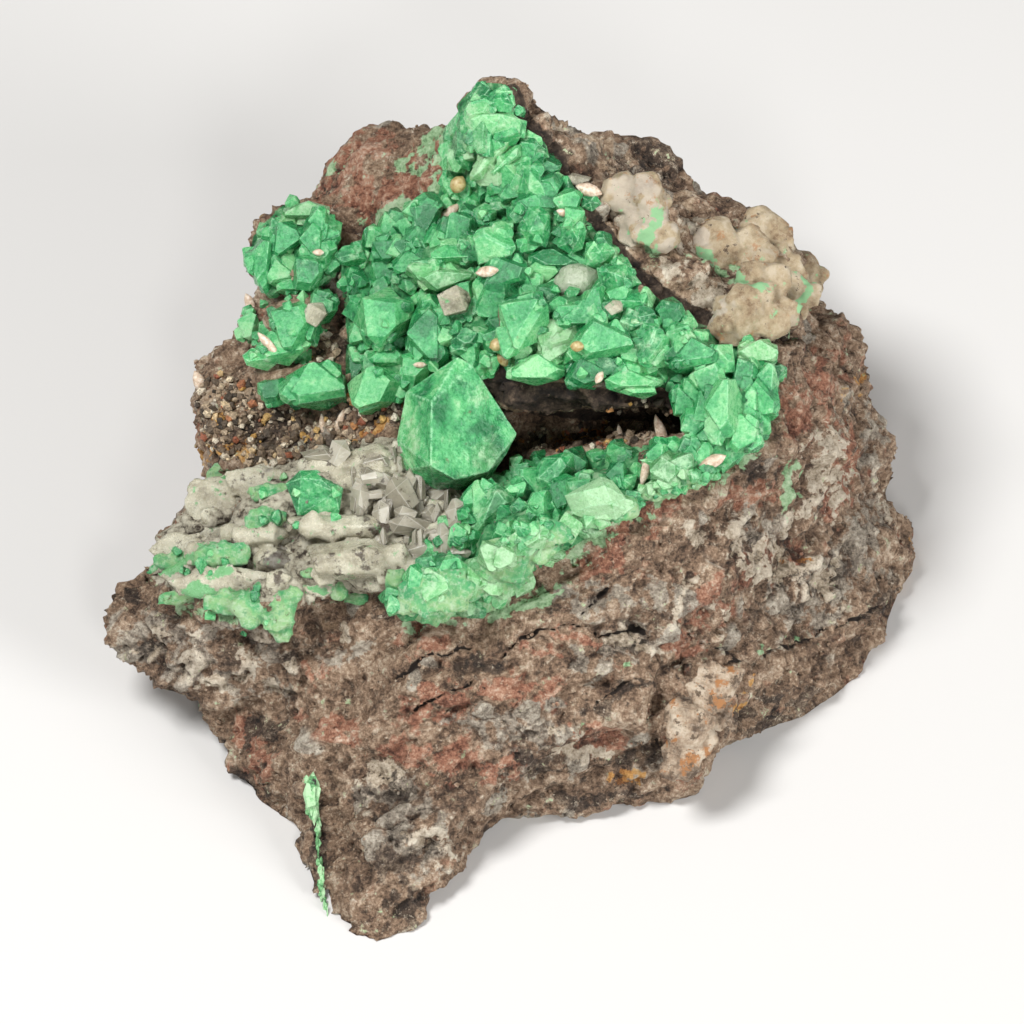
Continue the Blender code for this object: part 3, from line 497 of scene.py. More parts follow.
def carve_rock(rock):
    """Uneven broken surface: ledges, cobbles, small pits, the step by the pocket and the cracks."""
    mesh = rock.data
    points, normals = points_of(mesh), normals_of(mesh)
    across, down = in_view(points)
    shown = smoothstep(-0.1, 0.3, normals @ np.array(TOWARDS))
    upright = smoothstep(-0.95, -0.6, normals[:, 2])
    rough = smoothstep(-0.3, 0.5, fractal_at(points, 4.0, 2, 2))
    slanted = stretched(points, 24, 2.4)
    ledges = terraced(fractal_at(slanted, 3.0, 3, 4), 4)
    small = terraced(fractal_at(slanted, 1.1, 4, 4), 3)
    grain = fractal_at(points, 0.42, 9, 3)
    depth, share = cells_at(points + 0.0002 * normals, 1.15, 7)
    cobbled = 0.25 * rough + 0.75 * ellipses(across, down, COBBLED)
    lumps = smoothstep(0.0, 0.22, depth) * (0.4 + 0.9 * share) - 0.5
    pits = smoothstep(0.40, 0.60, fractal_at(points, 1.3, 10, 3))
    crack = crack_share(points, across, down) * shown
    height = 0.75 * ledges + 0.30 * small + 0.08 * grain + 0.26 * cobbled * lumps - 0.3 * pits - 0.36 * crack
    wander = 4.0 * fractal_at(points, 0.9, 12, 3)
    beside = [(x + STEP_WIDTH, y - STEP_WIDTH * 0.7) for x, y in STEP_EDGE]
    step = 1 - smoothstep(6, 20, line_distance(across + wander, down + wander, beside))
    height += 0.42 * step * shown * (0.75 + 0.5 * fractal_at(points, 0.6, 11, 2))
    points += normals * ((height - 0.05) * upright * MM)[:, None]
    points[:, 2] = np.maximum(points[:, 2], 0)
    put_points(mesh, points)
    # Painted light and shade: crests and ledges get a paler colour, pits and hollows a darker one.
    relief_light_and_shade = 0.55 * small + 0.35 * grain + 0.30 * cobbled * lumps - 0.5 * pits
    give(mesh, "relief_light_and_shade", 0.5 + 0.35 * np.clip(relief_light_and_shade, -1, 1))
    give(mesh, "cell", share)
    give(mesh, "cell_depth", depth)
    give(mesh, "cobbled", cobbled)
    give(mesh, "crack", crack)


def thin_out(rock):
    """Brings the rock under its count of triangles, and spares the side that the viewer sees."""
    hidden = smoothstep(0.1, -0.3, normals_of(rock.data) @ np.array(TOWARDS))
    group = rock.vertex_groups.new(name="hidden")
    for step in range(1, 11):
        chosen = np.nonzero(np.round(hidden * 9 + 1) == step)[0]
        group.add([int(i) for i in chosen], step / 10, "REPLACE")
    ratio = ROCK_TRIANGLES / (2 * len(rock.data.polygons))
    modify(rock, "DECIMATE", ratio=ratio, vertex_group="hidden", vertex_group_factor=6)
    settle(rock)
    rock.vertex_groups.clear()


def paint_rock(rock, tree):
    """Gives each point of a piece its share of each kind of rock."""
    mesh = rock.data
    points, normals = points_of(mesh), normals_of(mesh)
    across, down = in_view(points)
    shown = smoothstep(-0.2, 0.1, normals @ np.array(TOWARDS)) * open_to_view(tree, points)
    wander_x = 18 * fractal_at(points, 1.5, 30, 4)
    wander_y = 18 * fractal_at(points, 1.5, 31, 4)
    for number, (kind, places) in enumerate(ROCK_ZONES.items()):
        broad = fractal_at(points, 5.0, 20 + number, 3)
        level = HIDDEN_LEVELS[kind]
        hidden_share = smoothstep(level - 0.15, level + 0.25, broad)
        broken = smoothstep(-0.45, 0.05, fractal_at(points, 0.9, 40 + number, 3))
        there = ellipses(across + wander_x, down + wander_y, places) * broken
        give(mesh, kind, shown * there + (1 - shown) * hidden_share)
    ground = np.zeros(len(points))
    for patch in GREEN_GROUND:
        ground = np.maximum(ground, smoothstep(-3, 7, inside(across, down, patch)))
    give(mesh, "green_ground", ground * shown)
    milky = smoothstep(-6, 4, inside(across + wander_x * 0.3, down + wander_y * 0.3, PALE_PATCHES[0]))
    give(mesh, "milky_ground", milky * shown)
    # Painted shade along the step edge and under the lip over the cave.
    step = 1 - smoothstep(4, 9, line_distance(across + wander_x * 0.2, down, STEP_EDGE))
    lip = 1 - smoothstep(12, 20, line_distance(across, down + wander_y * 0.2, LIP_EDGE))
    give(mesh, "step", np.maximum(step, lip) * shown)


# Unit shapes, and how they are fitted to an outline.

def crystal_corners(rng):
    """Corners of one crystal of unit size: a four-sided prism closed by a wedge at each end. Some have a
    sharp corner or ridge cut off."""
    planes = []
    for angle in (45, 135, 225, 315):
        turn = math.radians(angle)
        planes.append((Vector((math.cos(turn), math.sin(turn), 0)), 1 + rng.uniform(-0.14, 0.14)))
    slope = math.radians(rng.uniform(28, 44))
    for side in (-1, 1):
        for end in (-1, 1):
            normal = Vector((0, side * math.sin(slope), end * math.cos(slope)))
            planes.append((normal, 0.85 + rng.uniform(-0.14, 0.14)))
    for cut in ((1, 0, 0), (-1, 0, 0), (0.6, 0, 0.8), (-0.6, 0, 0.8), (0, 0, 1)):
        planes.append((Vector(cut), rng.uniform(0.92, 1.5)))
    bm = bmesh.new()
    bmesh.ops.create_cube(bm, size=6)
    for normal, reach in planes:
        everything = bm.verts[:] + bm.edges[:] + bm.faces[:]
        bmesh.ops.bisect_plane(bm, geom=everything, dist=1e-6, plane_co=normal * reach, plane_no=normal,
                               clear_outer=True)
        bmesh.ops.holes_fill(bm, edges=bm.edges)
    corners = [vert.co.copy() for vert in bm.verts]
    bm.free()
    return corners


def lump_corners(rng, count=22, low=0.86, high=1.06):
    """Corners of a knobbly rounded lump of unit size."""
    corners = []
    for number in range(count):
        height = 1 - 2 * (number + 0.5) / count
        turn = number * math.pi * (3 - math.sqrt(5))
        flat = math.sqrt(1 - height * height)
        corner = Vector((flat * math.cos(turn), flat * math.sin(turn), height))
        corners.append(corner * rng.uniform(low, high))
    return corners


def random_spin(rng):
    return Matrix.Rotation(rng.uniform(0, 6.28), 3, Vector((rng.uniform(-1, 1), rng.uniform(-1, 1), 1)))


def block_corners(rng):
    """Corners of an irregular block of unit size with few large faces."""
    stretch = Vector((rng.uniform(0.8, 1.2), rng.uniform(0.7, 1.0), rng.uniform(0.7, 1.1)))
    spin = random_spin(rng)
    return [spin @ corner * stretch for corner in lump_corners(rng, 11, 0.75, 1.15)]


def glassy_corners(rng):
    """Corners of a six-sided crystal of unit size along x, pointed at one end and broken at the other."""
    tilt, tip = rng.uniform(-0.25, 0.25), rng.uniform(0.05, 0.3)
    corners = []
    for end, radius in ((-1, 0.8), (0.45, 1.0), (1, tip)):
        for step in range(6):
            turn = math.radians(step * 60 + rng.uniform(-7, 7))
            reach = radius * rng.uniform(0.88, 1.08)
            corners.append(Vector((end + tilt * math.cos(turn) * (end < 1), reach * math.cos(turn),
                                   reach * math.sin(turn))))
    return corners


def around(x, y, wide, tall, turn=0, lean=0):
    """The outline of that size about a middle."""
    return x - wide / 2, y - tall / 2, x + wide / 2, y + tall / 2, turn, lean


def extent(outline):
    """Middle and size of an outline."""
    left, top, right, bottom = outline[:4]
    return (left + right) / 2, (top + bottom) / 2, right - left, bottom - top


def half_size(outline):
    x, y, wide, tall = extent(outline)
    return math.sqrt(wide * tall) / PHOTO_PX_PER_MM / 2


def fitted(corners, outline, near, depth=1.0):
    """Turns a unit shape as its outline says, then sizes and places it to fill that outline."""
    x, y, wide, tall = extent(outline)
    turn, lean = outline[4:]
    spin = Matrix.Rotation(math.radians(turn), 3, "Z") @ Matrix.Rotation(math.radians(lean), 3, "X")
    placed = [spin @ corner for corner in corners]
    low = Vector([min(p[i] for p in placed) for i in range(3)])
    high = Vector([max(p[i] for p in placed) for i in range(3)])
    wide, tall = wide / PHOTO_PX_PER_MM * MM, tall / PHOTO_PX_PER_MM * MM
    size = Vector((wide, tall, math.sqrt(wide * tall) * depth))
    middle = seen(x, y, near)
    result = []
    for p in placed:
        part = [(p[i] - (low[i] + high[i]) / 2) / (high[i] - low[i]) * size[i] for i in range(3)]
        result.append(middle + SIDE * part[0] + UP * part[1] + TOWARDS * part[2])
    return result


def kept_below(corners, height):
    """The corners, moved away from the viewer until none is higher than that."""
    over = max(corner.z for corner in corners) - height
    if over <= 0:
        return corners
    return [corner - TOWARDS * over / TOWARDS.z for corner in corners]


class Cluster:
    """A piece made of many closed crystals. Each face keeps its crystal's tint and whether it is an edge."""

    def __init__(self, name):
        self.name = name
        self.points, self.faces, self.tints, self.edges, self.pales = [], [], [], [], []

    def add(self, corners, tint, pale=0.0, bevel=0.035):
        """Adds the hull of the corners with its edges narrowly bevelled."""
        bm = bmesh.new()
        add_hull(bm, kept_below(corners, cad_high[2] + OVER_CAD))
        bmesh.ops.recalc_face_normals(bm, faces=bm.faces)
        cut = set(bevel_edges(bm, bevel, 4)[0])
        first = len(self.points)
        bm.verts.index_update()
        self.points += [vert.co[:] for vert in bm.verts]
        for face in bm.faces:
            self.faces.append([first + vert.index for vert in face.verts])
            way = face.normal
            self.tints.append(tint + 0.14 * math.sin(9 * way.x + 7 * way.y + 5 * way.z))
            self.pales.append(pale)
            self.edges.append(1.0 if face in cut else 0.0)
        bm.free()

    def build(self, material, slot, *nodes):
        mesh = bpy.data.meshes.new(self.name)
        mesh.from_pydata(self.points, [], self.faces)
        mesh.update()
        give(mesh, "tint", self.tints, "FACE")
        give(mesh, "pale", self.pales, "FACE")
        give(mesh, "edge", self.edges, "FACE")
        bm = bmesh.new()
        bm.from_mesh(mesh)
        divide(bm, CRYSTAL_EDGE, 3)
        bm.to_mesh(mesh)
        bm.free()
        mesh.validate()
        push_out(mesh, 0.035 * fractal_at(points_of(mesh), 0.9, 70, 4))
        return dress(add_object(self.name, mesh), material, slot, *nodes)


# The green crystals, as the viewer sees each one that stands out.
POCKET_CRYSTALS = [
    (438, 210, 478, 246, 30, 35), (469, 224, 516, 266, 150, 15), (409, 200, 442, 236, 60, 20),
    (404, 224, 432, 252, 100, 40), (391, 250, 433, 279, 10, 25), (430, 242, 484, 268, 5, 15),
    (411, 262, 473, 292, 170, 30), (473, 254, 533, 293, 25, 40), (476, 278, 522, 324, 120, 20),
    (353, 286, 413, 348, 45, 30), (407, 304, 446, 358, 90, 35), (367, 342, 404, 372, 0, 20),
    (343, 268, 369, 297, 30, 45), (335, 244, 367, 268, 20, 10), (347, 366, 400, 412, 15, 30),
    (398, 356, 430, 392, 40, 15), (370, 232, 408, 262, 60, 30), (440, 290, 482, 330, 35, 25),
    (528, 249, 578, 273, 0, 20), (538, 272, 568, 304, 90, 45), (614, 308, 654, 338, 20, 15),
    (498, 293, 551, 351, 60, 20), (536, 332, 569, 364, 30, 40), (572, 318, 634, 369, 15, 25),
    (630, 331, 672, 369, 60, 10), (511, 354, 565, 386, 0, 30), (603, 368, 660, 396, 5, 20),
    (482, 320, 512, 354, 75, 30), (560, 300, 606, 330, 0, 30), (563, 358, 607, 390, 20, 30),
    (450, 326, 486, 354, 10, 15), (665, 337, 720, 378, 10, 25), (692, 358, 724, 400, 70, 30),
    (728, 358, 760, 392, 30, 20), (737, 340, 777, 366, 0, 35), (754, 362, 779, 398, 80, 25),
    (702, 380, 746, 438, 90, 20), (738, 386, 760, 416, 90, 40), (668, 384, 704, 420, 135, 25),
    (691, 420, 722, 450, 45, 20), (724, 414, 760, 454, 20, 30), (672, 436, 704, 458, 20, 30),
    (509, 459, 532, 487, 60, 20),
]
SHOULDER_CRYSTALS = [
    (284, 199, 329, 224, 0, 20), (297, 214, 330, 260, 90, 25), (289, 252, 323, 291, 45, 30),
    (248, 238, 277, 287, 80, 15), (268, 220, 302, 256, 30, 30), (264, 258, 294, 290, 10, 20),
    (306, 236, 338, 268, 60, 20), (276, 276, 308, 296, 0, 15),
]
FLAKE_CRYSTALS = [
    (270, 298, 320, 354, 60, 20), (302, 290, 338, 325, 30, 30), (236, 310, 262, 342, 70, 10),
    (248, 330, 304, 366, 20, 10),
]
SHELF_CRYSTALS = [
    (285, 362, 347, 411, 10, 30), (258, 375, 290, 407, 60, 15), (326, 372, 350, 404, 80, 20),
]
# Each growth: piece, node, its crystals, its patches, a seed for their shapes, and how many small crystals
# of which width in px fill it up.
GREEN_GROWTHS = [
    ("pocket_crystals", "crystal_crust", POCKET_CRYSTALS, POCKET_PATCHES, 1, 560, (14, 34)),
    ("shoulder_crystals", "left_crystal_cluster", SHOULDER_CRYSTALS, SHOULDER_PATCHES, 3, 40, (14, 28)),
    ("flake_crystals_visual", "flake_crystals", FLAKE_CRYSTALS, FLAKE_PATCHES, 4, 20, (9, 18)),
    ("shelf_crystals_visual", "shelf_crystals", SHELF_CRYSTALS, SHELF_PATCHES, 5, 14, (9, 18)),
]
# Where very small crystals sit on the others, and how many.
DRUSE_PATCHES = [
    ([[(498, 524), (540, 500), (562, 520), (530, 544), (500, 548)]], 26),
    ([[(630, 490), (690, 466), (756, 440), (712, 484), (640, 510)]], 30),
    ([[(440, 505), (470, 500), (478, 540), (452, 566), (428, 570)]], 8),
    (POCKET_PATCHES[1:5], 70),
    (FLAKE_PATCHES, 10),
    (TONGUE_PATCHES, 12),
    (PLATE_PATCHES, 8),
]
DRUSE_SIZES = (6, 13)
# The crystals that show their shape best: tint, powder, the corners of the outline as the viewer sees it,
# and the corners in front of it with their height over the ground in mm.
TRACED_CRYSTALS = [
    (0.25, 0.0, [(461, 115), (480, 98), (505, 84), (511, 89), (516, 112), (492, 114)], [(490, 104, 0.4),
     (508, 98, 0.35)]),
    (0.85, 0.2, [(462, 117), (482, 112), (513, 114), (522, 120), (520, 134), (498, 133), (478, 143),
     (472, 142)], [(482, 115, 0.6), (500, 115, 0.65), (497, 126, 0.5), (474, 120, 0.4)]),
    (0.80, 0.5, [(492, 131), (505, 130), (516, 142), (502, 150), (487, 170), (483, 180), (470, 182),
     (469, 175), (478, 157)], [(500, 134, 0.7), (508, 142, 0.6), (480, 172, 0.55), (474, 176, 0.45)]),
    (0.65, 0.3, [(522, 143), (522, 157), (508, 168), (493, 180), (486, 173), (498, 157), (513, 145)],
     [(518, 146, 0.6), (516, 156, 0.6), (494, 172, 0.5)]),
    (0.75, 0.3, [(528, 135), (537, 134), (547, 145), (550, 157), (540, 163), (528, 153)], [(536, 144, 0.5),
     (544, 152, 0.45)]),
    (0.55, 0.1, [(520, 163), (530, 160), (537, 165), (547, 180), (558, 208), (553, 215), (543, 210),
     (533, 203), (523, 203), (522, 183)], [(530, 172, 0.7), (541, 185, 0.8), (548, 203, 0.6),
     (528, 190, 0.6)]),
    (0.45, 0.1, [(528, 207), (540, 206), (550, 215), (550, 233), (542, 247), (527, 244), (520, 230),
     (523, 217)], [(538, 215, 0.6), (544, 228, 0.65), (530, 232, 0.6)]),
    (0.60, 0.2, [(485, 187), (492, 182), (503, 177), (510, 185), (513, 200), (503, 208), (492, 200)],
     [(497, 186, 0.5), (504, 196, 0.5)]),
    (0.55, 0.2, [(468, 212), (485, 202), (495, 208), (493, 223), (480, 227), (470, 225)], [(480, 210, 0.5),
     (484, 220, 0.5)]),
    (0.35, 0.0, [(563, 218), (582, 218), (587, 230), (583, 250), (570, 255), (557, 247), (557, 230)],
     [(570, 226, 0.6), (578, 240, 0.65)]),
    (0.10, 0.0, [(560, 192), (568, 181), (577, 190), (579, 203), (570, 208), (561, 200)],
     [(569, 193, 0.4)]),
    (0.05, 0.0, [(580, 196), (596, 194), (602, 204), (592, 212), (581, 208)], [(590, 202, 0.35)]),
    (0.30, 0.0, [(453, 150), (470, 145), (482, 143), (477, 157), (470, 172), (460, 167), (455, 160)],
     [(466, 152, 0.5), (462, 160, 0.45)]),
    (0.50, 0.0, [(584, 254), (594, 244), (606, 242), (616, 250), (612, 262), (598, 269), (586, 266)],
     [(600, 252, 0.5), (604, 262, 0.4)]),
    (0.40, 0.1, [(596, 268), (626, 264), (632, 274), (642, 284), (626, 304), (610, 300), (600, 286)],
     [(614, 274, 0.7), (628, 280, 0.6), (620, 294, 0.5)]),
    (0.55, 0.3, [(636, 290), (644, 292), (652, 304), (650, 316), (636, 308)], [(642, 300, 0.4)]),
    (0.95, 0.7, [(617, 332), (626, 316), (640, 314), (654, 324), (644, 334), (630, 337)], [(634, 322, 0.5),
     (646, 326, 0.4)]),
    (0.60, 0.2, [(657, 316), (668, 308), (688, 316), (688, 328), (672, 332)], [(668, 316, 0.45)]),
    (0.30, 0.0, [(564, 452), (574, 453), (575, 470), (564, 488), (554, 496), (544, 490), (530, 494),
     (530, 476), (542, 458)], [(560, 458, 0.7), (566, 466, 0.75), (552, 484, 0.8), (538, 478, 0.6)]),
    (0.30, 0.3, [(496, 482), (510, 490), (522, 506), (510, 514), (498, 524), (484, 536), (472, 540),
     (470, 528), (478, 506), (486, 488)], [(496, 490, 0.8), (506, 502, 0.7), (484, 520, 0.6)]),
    (0.60, 0.9, [(564, 496), (574, 490), (600, 476), (612, 480), (626, 498), (628, 510), (616, 520),
     (600, 514), (582, 518), (572, 514)], [(582, 492, 0.6), (604, 486, 0.65), (612, 504, 0.6),
     (590, 506, 0.5)]),
    (0.45, 0.1, [(610, 474), (638, 474), (634, 488), (626, 496), (612, 488)], [(624, 480, 0.4)]),
    (0.75, 0.4, [(594, 509), (602, 512), (608, 524), (600, 528), (586, 520)], [(598, 516, 0.35)]),
    (0.45, 0.5, [(458, 568), (470, 566), (482, 580), (474, 600), (464, 598), (456, 580)], [(468, 576, 0.4),
     (470, 590, 0.4)]),
    (0.50, 0.4, [(638, 460), (656, 456), (700, 472), (700, 480), (680, 480), (666, 476)],
     [(670, 466, 0.35)]),
    (0.60, 0.4, [(650, 482), (660, 476), (670, 484), (666, 492), (654, 492)], [(660, 484, 0.3)]),
    (0.35, 0.4, [(502, 536), (530, 530), (546, 542), (530, 556), (506, 556), (486, 552)],
     [(516, 540, 0.35)]),
    (0.25, 0.1, [(286, 484), (300, 470), (318, 470), (344, 488), (340, 514), (322, 508), (298, 516)],
     [(302, 478, 0.5), (322, 480, 0.5), (336, 492, 0.4)]),
    (0.45, 0.2, [(428, 600), (440, 568), (462, 572), (470, 600), (448, 612)], [(446, 580, 0.3)]),
]
# Where the crystals are paler and powdery: ellipses.
POWDERED = [
    (520, 565, 60, 30, 20), (440, 598, 56, 22, 0), (600, 515, 40, 20, 30), (480, 160, 24, 24, 30),
    (484, 120, 20, 10, 0), (660, 480, 40, 12, 20), (440, 280, 40, 12, 0), (300, 215, 26, 12, 0),
    (560, 340, 30, 12, 0), (766, 352, 14, 10, 0), (300, 480, 30, 12, 0),
]


def pale_share(x, y):
    return 0.6 * ellipses(np.array([x]), np.array([y]), POWDERED)[0]


def grow_crystals(cluster, tree, outlines, seed, rng):
    """The crystals of the outlines, each with two smaller ones grown parallel to it out of its sides."""
    for number, outline in enumerate(outlines):
        middle_x, middle_y, wide, tall = extent(outline)
        turn, lean = outline[4:]
        near = nearness(tree, middle_x, middle_y)
        if near is None:
            continue
        tint = rng.uniform(0.1, 0.75)
        pale = pale_share(middle_x, middle_y) + rng.uniform(-0.2, 0.2)
        shape = crystal_corners(random.Random(seed * 1000 + number))
        cluster.add(fitted(shape, outline, near), tint, pale)
        for _ in range(2):
            size = rng.uniform(0.35, 0.7)
            away = rng.uniform(0.55, 0.85)
            angle = rng.uniform(0, 2 * math.pi)
            x = middle_x + math.cos(angle) * away * wide / 2
            y = middle_y + math.sin(angle) * away * tall / 2
            smaller = around(x, y, wide * size, tall * size, turn + rng.uniform(-10, 10),
                             lean + rng.uniform(-12, 12))
            raised = near + half_size(outline) * (0.35 * math.sqrt(1 - away * away) - 0.1)
            cluster.add(fitted(crystal_corners(rng), smaller, raised), tint + rng.uniform(-0.2, 0.2), pale)


def fill_crystals(cluster, tree, patches, count, sizes, rng, lift=-0.1):
    """Small crystals between the others, so that they cover the ground."""
    for _ in range(count):
        x, y = random_place(rng, patches, 3.0)
        wide = min(rng.uniform(*sizes), 10 + 2.2 * in_patches(x, y, patches))
        tall = wide * rng.uniform(0.7, 1.4)
        outline = around(x, y, wide, tall, rng.uniform(0, 180), rng.uniform(0, 50))
        under = nearness(tree, x, y)
        if under is None:
            continue
        near = under + lift * half_size(outline)
        pale = pale_share(x, y) + rng.uniform(-0.2, 0.2)
        cluster.add(fitted(crystal_corners(rng), outline, near), rng.uniform(0.1, 0.8), pale, 0.02)


def grow_traced_crystals(cluster, tree):
    """The crystals whose corners were read one by one from the photograph."""
    for tint, pale, outline, front in TRACED_CRYSTALS:
        x, y = np.mean(outline, axis=0)
        near = nearness_inward(tree, x, y)
        corners = [seen(px, py, near + 0.1) for px, py in outline]
        corners += [seen(px, py, near + 0.15 + height) for px, py, height in front]
        corners += [seen(0.3 * x + 0.7 * px, 0.3 * y + 0.7 * py, near - 0.6) for px, py in outline]
        cluster.add(corners, tint, pale, 0.03)


# The one big crystal: its corners across, down and near, its deep and sandy parts, and its left and right
# parts, painted lighter and darker as light and shade.
BIG_CORNERS = [
    (458, 357, 14.8), (472, 365, 14.6), (432, 402, 16.0), (431, 466, 16.5), (456, 480, 16.0),
    (488, 472, 15.1), (517, 434, 14.1), (506, 455, 14.3), (492, 397, 14.4), (406, 392, 14.2),
    (397, 440, 14.0), (402, 471, 13.8), (435, 489, 14.2), (457, 492, 13.9), (488, 481, 13.7),
    (430, 385, 10.8), (480, 395, 10.6), (492, 450, 10.6), (450, 478, 10.8), (412, 450, 10.8),
]
BIG_DEEP = [(442, 412, 12, 20, 0), (484, 428, 14, 7, 10), (452, 484, 20, 8, 0), (424, 388, 18, 8, 40)]
BIG_SANDY = [(486, 456, 20, 20, 0), (484, 390, 8, 26, -40), (412, 440, 10, 26, 0)]
BIG_PAINTED_LIGHT = [(404, 430, 14, 44, 0), (440, 380, 12, 20, 40)]
BIG_PAINTED_SHADE = [(494, 430, 22, 40, -20)]


def distance_to_edges(points, borders):
    """Distance in mm from each point to the nearest of the edges, given by their ends."""
    nearest = np.full(len(points), 1e9)
    for start, end in borders:
        start, way = np.array(start), np.array(end - start)
        along = np.clip((points - start) @ way / (way @ way), 0, 1)
        nearest = np.minimum(nearest, np.linalg.norm(points - start - along[:, None] * way, axis=1))
    return nearest / MM


def large_crystal(material):
    """The one big crystal: few large faces, finely divided and gently uneven, with deep green spots and with
    painted light on its left part and painted shade on its right part.
    """
    bm = bmesh.new()
    add_hull(bm, [seen(*corner) for corner in BIG_CORNERS])
    borders = bevel_edges(bm, 0.035, 6)[1]
    divide(bm, BIG_CRYSTAL_EDGE, 8)
    mesh = mesh_of("large_crystal_visual", bm)
    mesh.validate()
    points = points_of(mesh)
    nearest = distance_to_edges(points, borders)
    dish = smoothstep(0.10, 1.8, nearest)
    growth = terraced(fractal_at(stretched(points, 70, 1.8), 1.4, 42, 3), 4)
    push_out(mesh, 0.12 * growth * smoothstep(0.0, 0.3, nearest) + 0.02 * fractal_at(points, 0.3, 41, 2)
             - 0.10 * dish)
    points = points_of(mesh)
    across, down = in_view(points)
    deep, sandy = ellipses(across, down, BIG_DEEP), ellipses(across, down, BIG_SANDY)
    left, right = ellipses(across, down, BIG_PAINTED_LIGHT), ellipses(across, down, BIG_PAINTED_SHADE)
    cloud = fractal_at(points, 1.0, 43, 4)
    # Painted light on the left part and painted shade on the right part.
    give(mesh, "tint", 0.46 - 0.36 * deep + 0.35 * left - 0.18 * right + 0.30 * cloud)
    give(mesh, "pale", 0.05 + 0.30 * sandy - 0.4 * deep)
    give(mesh, "edge", 1 - smoothstep(0.02, 0.10, nearest))
    dress(add_object("large_crystal_visual", mesh), material, "green_crystal", "large_crystal")


# Growths without clear crystals: lumps that run together in one granular or milky mass.
RIDGE_LUMPS = [
    (478, 536, 536, 584, 20, 0), (500, 530, 556, 566, 20, 0), (484, 556, 532, 594, 30, 0),
    (456, 566, 492, 604, 60, 0), (398, 570, 450, 616, 10, 0), (430, 566, 474, 616, 40, 0),
    (394, 590, 430, 616, 0, 0), (412, 600, 460, 624, 0, 0), (536, 520, 574, 548, 30, 0),
    (560, 508, 600, 534, 20, 0), (600, 496, 640, 522, 20, 0), (636, 484, 672, 502, 20, 0),
    (664, 474, 704, 490, 20, 0), (470, 590, 500, 612, 20, 0),
]
TONGUE_LUMPS = [
    (153, 549, 196, 572, 5, 0), (190, 540, 254, 570, 5, 0), (158, 590, 200, 606, 5, 0),
    (200, 590, 246, 614, 10, 0), (232, 590, 276, 624, 20, 0), (262, 592, 300, 632, 50, 0),
    (268, 612, 296, 643, 90, 0), (240, 604, 262, 630, 80, 0), (282, 586, 306, 604, 30, 0),
    (146, 562, 164, 578, 0, 0),
]
FLAT_LUMPS = [
    (204, 462, 232, 488, 30, 0), (242, 502, 284, 542, 45, 0), (246, 482, 296, 502, 5, 0),
    (300, 566, 322, 580, 20, 0), (327, 578, 350, 600, 30, 0), (344, 586, 370, 606, 20, 0),
    (384, 566, 410, 592, 40, 0),
]
# The green crusts: piece, lumps, seed of its unevenness and the nodes that it stands for.
GREEN_CRUSTS = [
    ("ridge_crust", RIDGE_LUMPS, 44, []),
    ("tongue_crust_visual", TONGUE_LUMPS, 46, ["tongue_crust"]),
    ("plate_crust_visual", FLAT_LUMPS, 48, ["plate_crystals"]),
]
MILKY_MASSES = [
    (306, 537, 408, 580, 5, 10), (286, 514, 404, 540, 5, 20), (251, 544, 302, 580, 165, 10),
    (338, 442, 404, 486, 20, 15), (296, 448, 350, 486, 170, 15), (320, 470, 372, 498, 30, 0),
    (376, 556, 432, 590, 10, 0), (236, 520, 290, 548, 10, 0), (300, 486, 346, 520, 160, 0),
]
MILKY_PLATES = [
    (182, 474, 248, 534, 20, 0), (146, 530, 200, 566, 40, 0), (166, 566, 284, 600, 5, 0),
    (222, 466, 306, 500, 10, 0), (200, 500, 262, 545, 30, 0), (280, 576, 340, 600, 10, 0),
    (156, 560, 216, 590, 10, 0),
]
MILKY_BED_LUMPS = 70
# The tan crust.
CRUST_LUMPS = [
    (739, 203, 780, 254, 90, 0), (690, 215, 738, 262, 0, 0), (758, 240, 802, 294, 60, 0),
    (796, 248, 826, 294, 100, 0), (718, 280, 784, 340, 20, 0), (742, 300, 800, 336, 40, 0),
    (716, 226, 768, 282, 30, 0), (736, 262, 792, 316, 20, 0), (776, 270, 816, 318, 70, 0),
    (700, 236, 748, 270, 90, 0), (762, 212, 792, 262, 110, 0), (604, 178, 664, 222, 10, 0),
    (616, 196, 656, 240, 60, 0), (632, 206, 676, 248, 100, 0),
]
# The white patch: lumps along the broken vein.
VEIN_LUMPS = [
    (690, 664, 748, 704, 30, 0), (674, 682, 728, 724, 50, 0), (662, 702, 712, 748, 60, 0),
    (660, 734, 702, 782, 80, 0), (700, 694, 734, 738, 60, 0), (684, 720, 716, 760, 60, 0),
]


def grown_mass(name, tree, outlines, seed, lift, depth, knobs, knob_size, shape, smoothing, rng):
    """Lumps with smaller knobs on them, grown together in one closed surface with fine unevenness. Lift
    and depth are parts of a lump's size."""
    bm = bmesh.new()
    for outline in outlines:
        x, y, wide, tall = extent(outline)
        half = half_size(outline)
        near = nearness_inward(tree, x, y) + lift * half
        add_hull(bm, fitted(shape(rng), outline, near, depth))
        for _ in range(knobs):
            away, angle = math.sqrt(rng.random()) * 0.9, rng.uniform(0, 2 * math.pi)
            knob_x = x + math.cos(angle) * away * wide / 2
            knob_y = y + math.sin(angle) * away * tall / 2
            knob_wide = (wide + tall) / 2 * rng.uniform(*knob_size)
            knob_tall = knob_wide * rng.uniform(0.7, 1.2)
            knob = around(knob_x, knob_y, knob_wide, knob_tall, outline[4] + rng.uniform(-40, 40),
                          rng.uniform(0, 40))
            raised = near + half * depth * (math.sqrt(1 - away * away) - 0.3)
            add_hull(bm, fitted(shape(rng), knob, raised, depth))
    obj = add_object(name, mesh_of(name, bm))
    remesh(obj, MASS_VOXEL)
    modify(obj, "SMOOTH", factor=0.5, iterations=smoothing)
    settle(obj)
    points = points_of(obj.data)
    push_out(obj.data, 0.06 * fractal_at(points, 1.1, seed, 3) + 0.03 * fractal_at(points, 0.3, seed + 1, 2))
    obj.data.shade_smooth()
    return obj


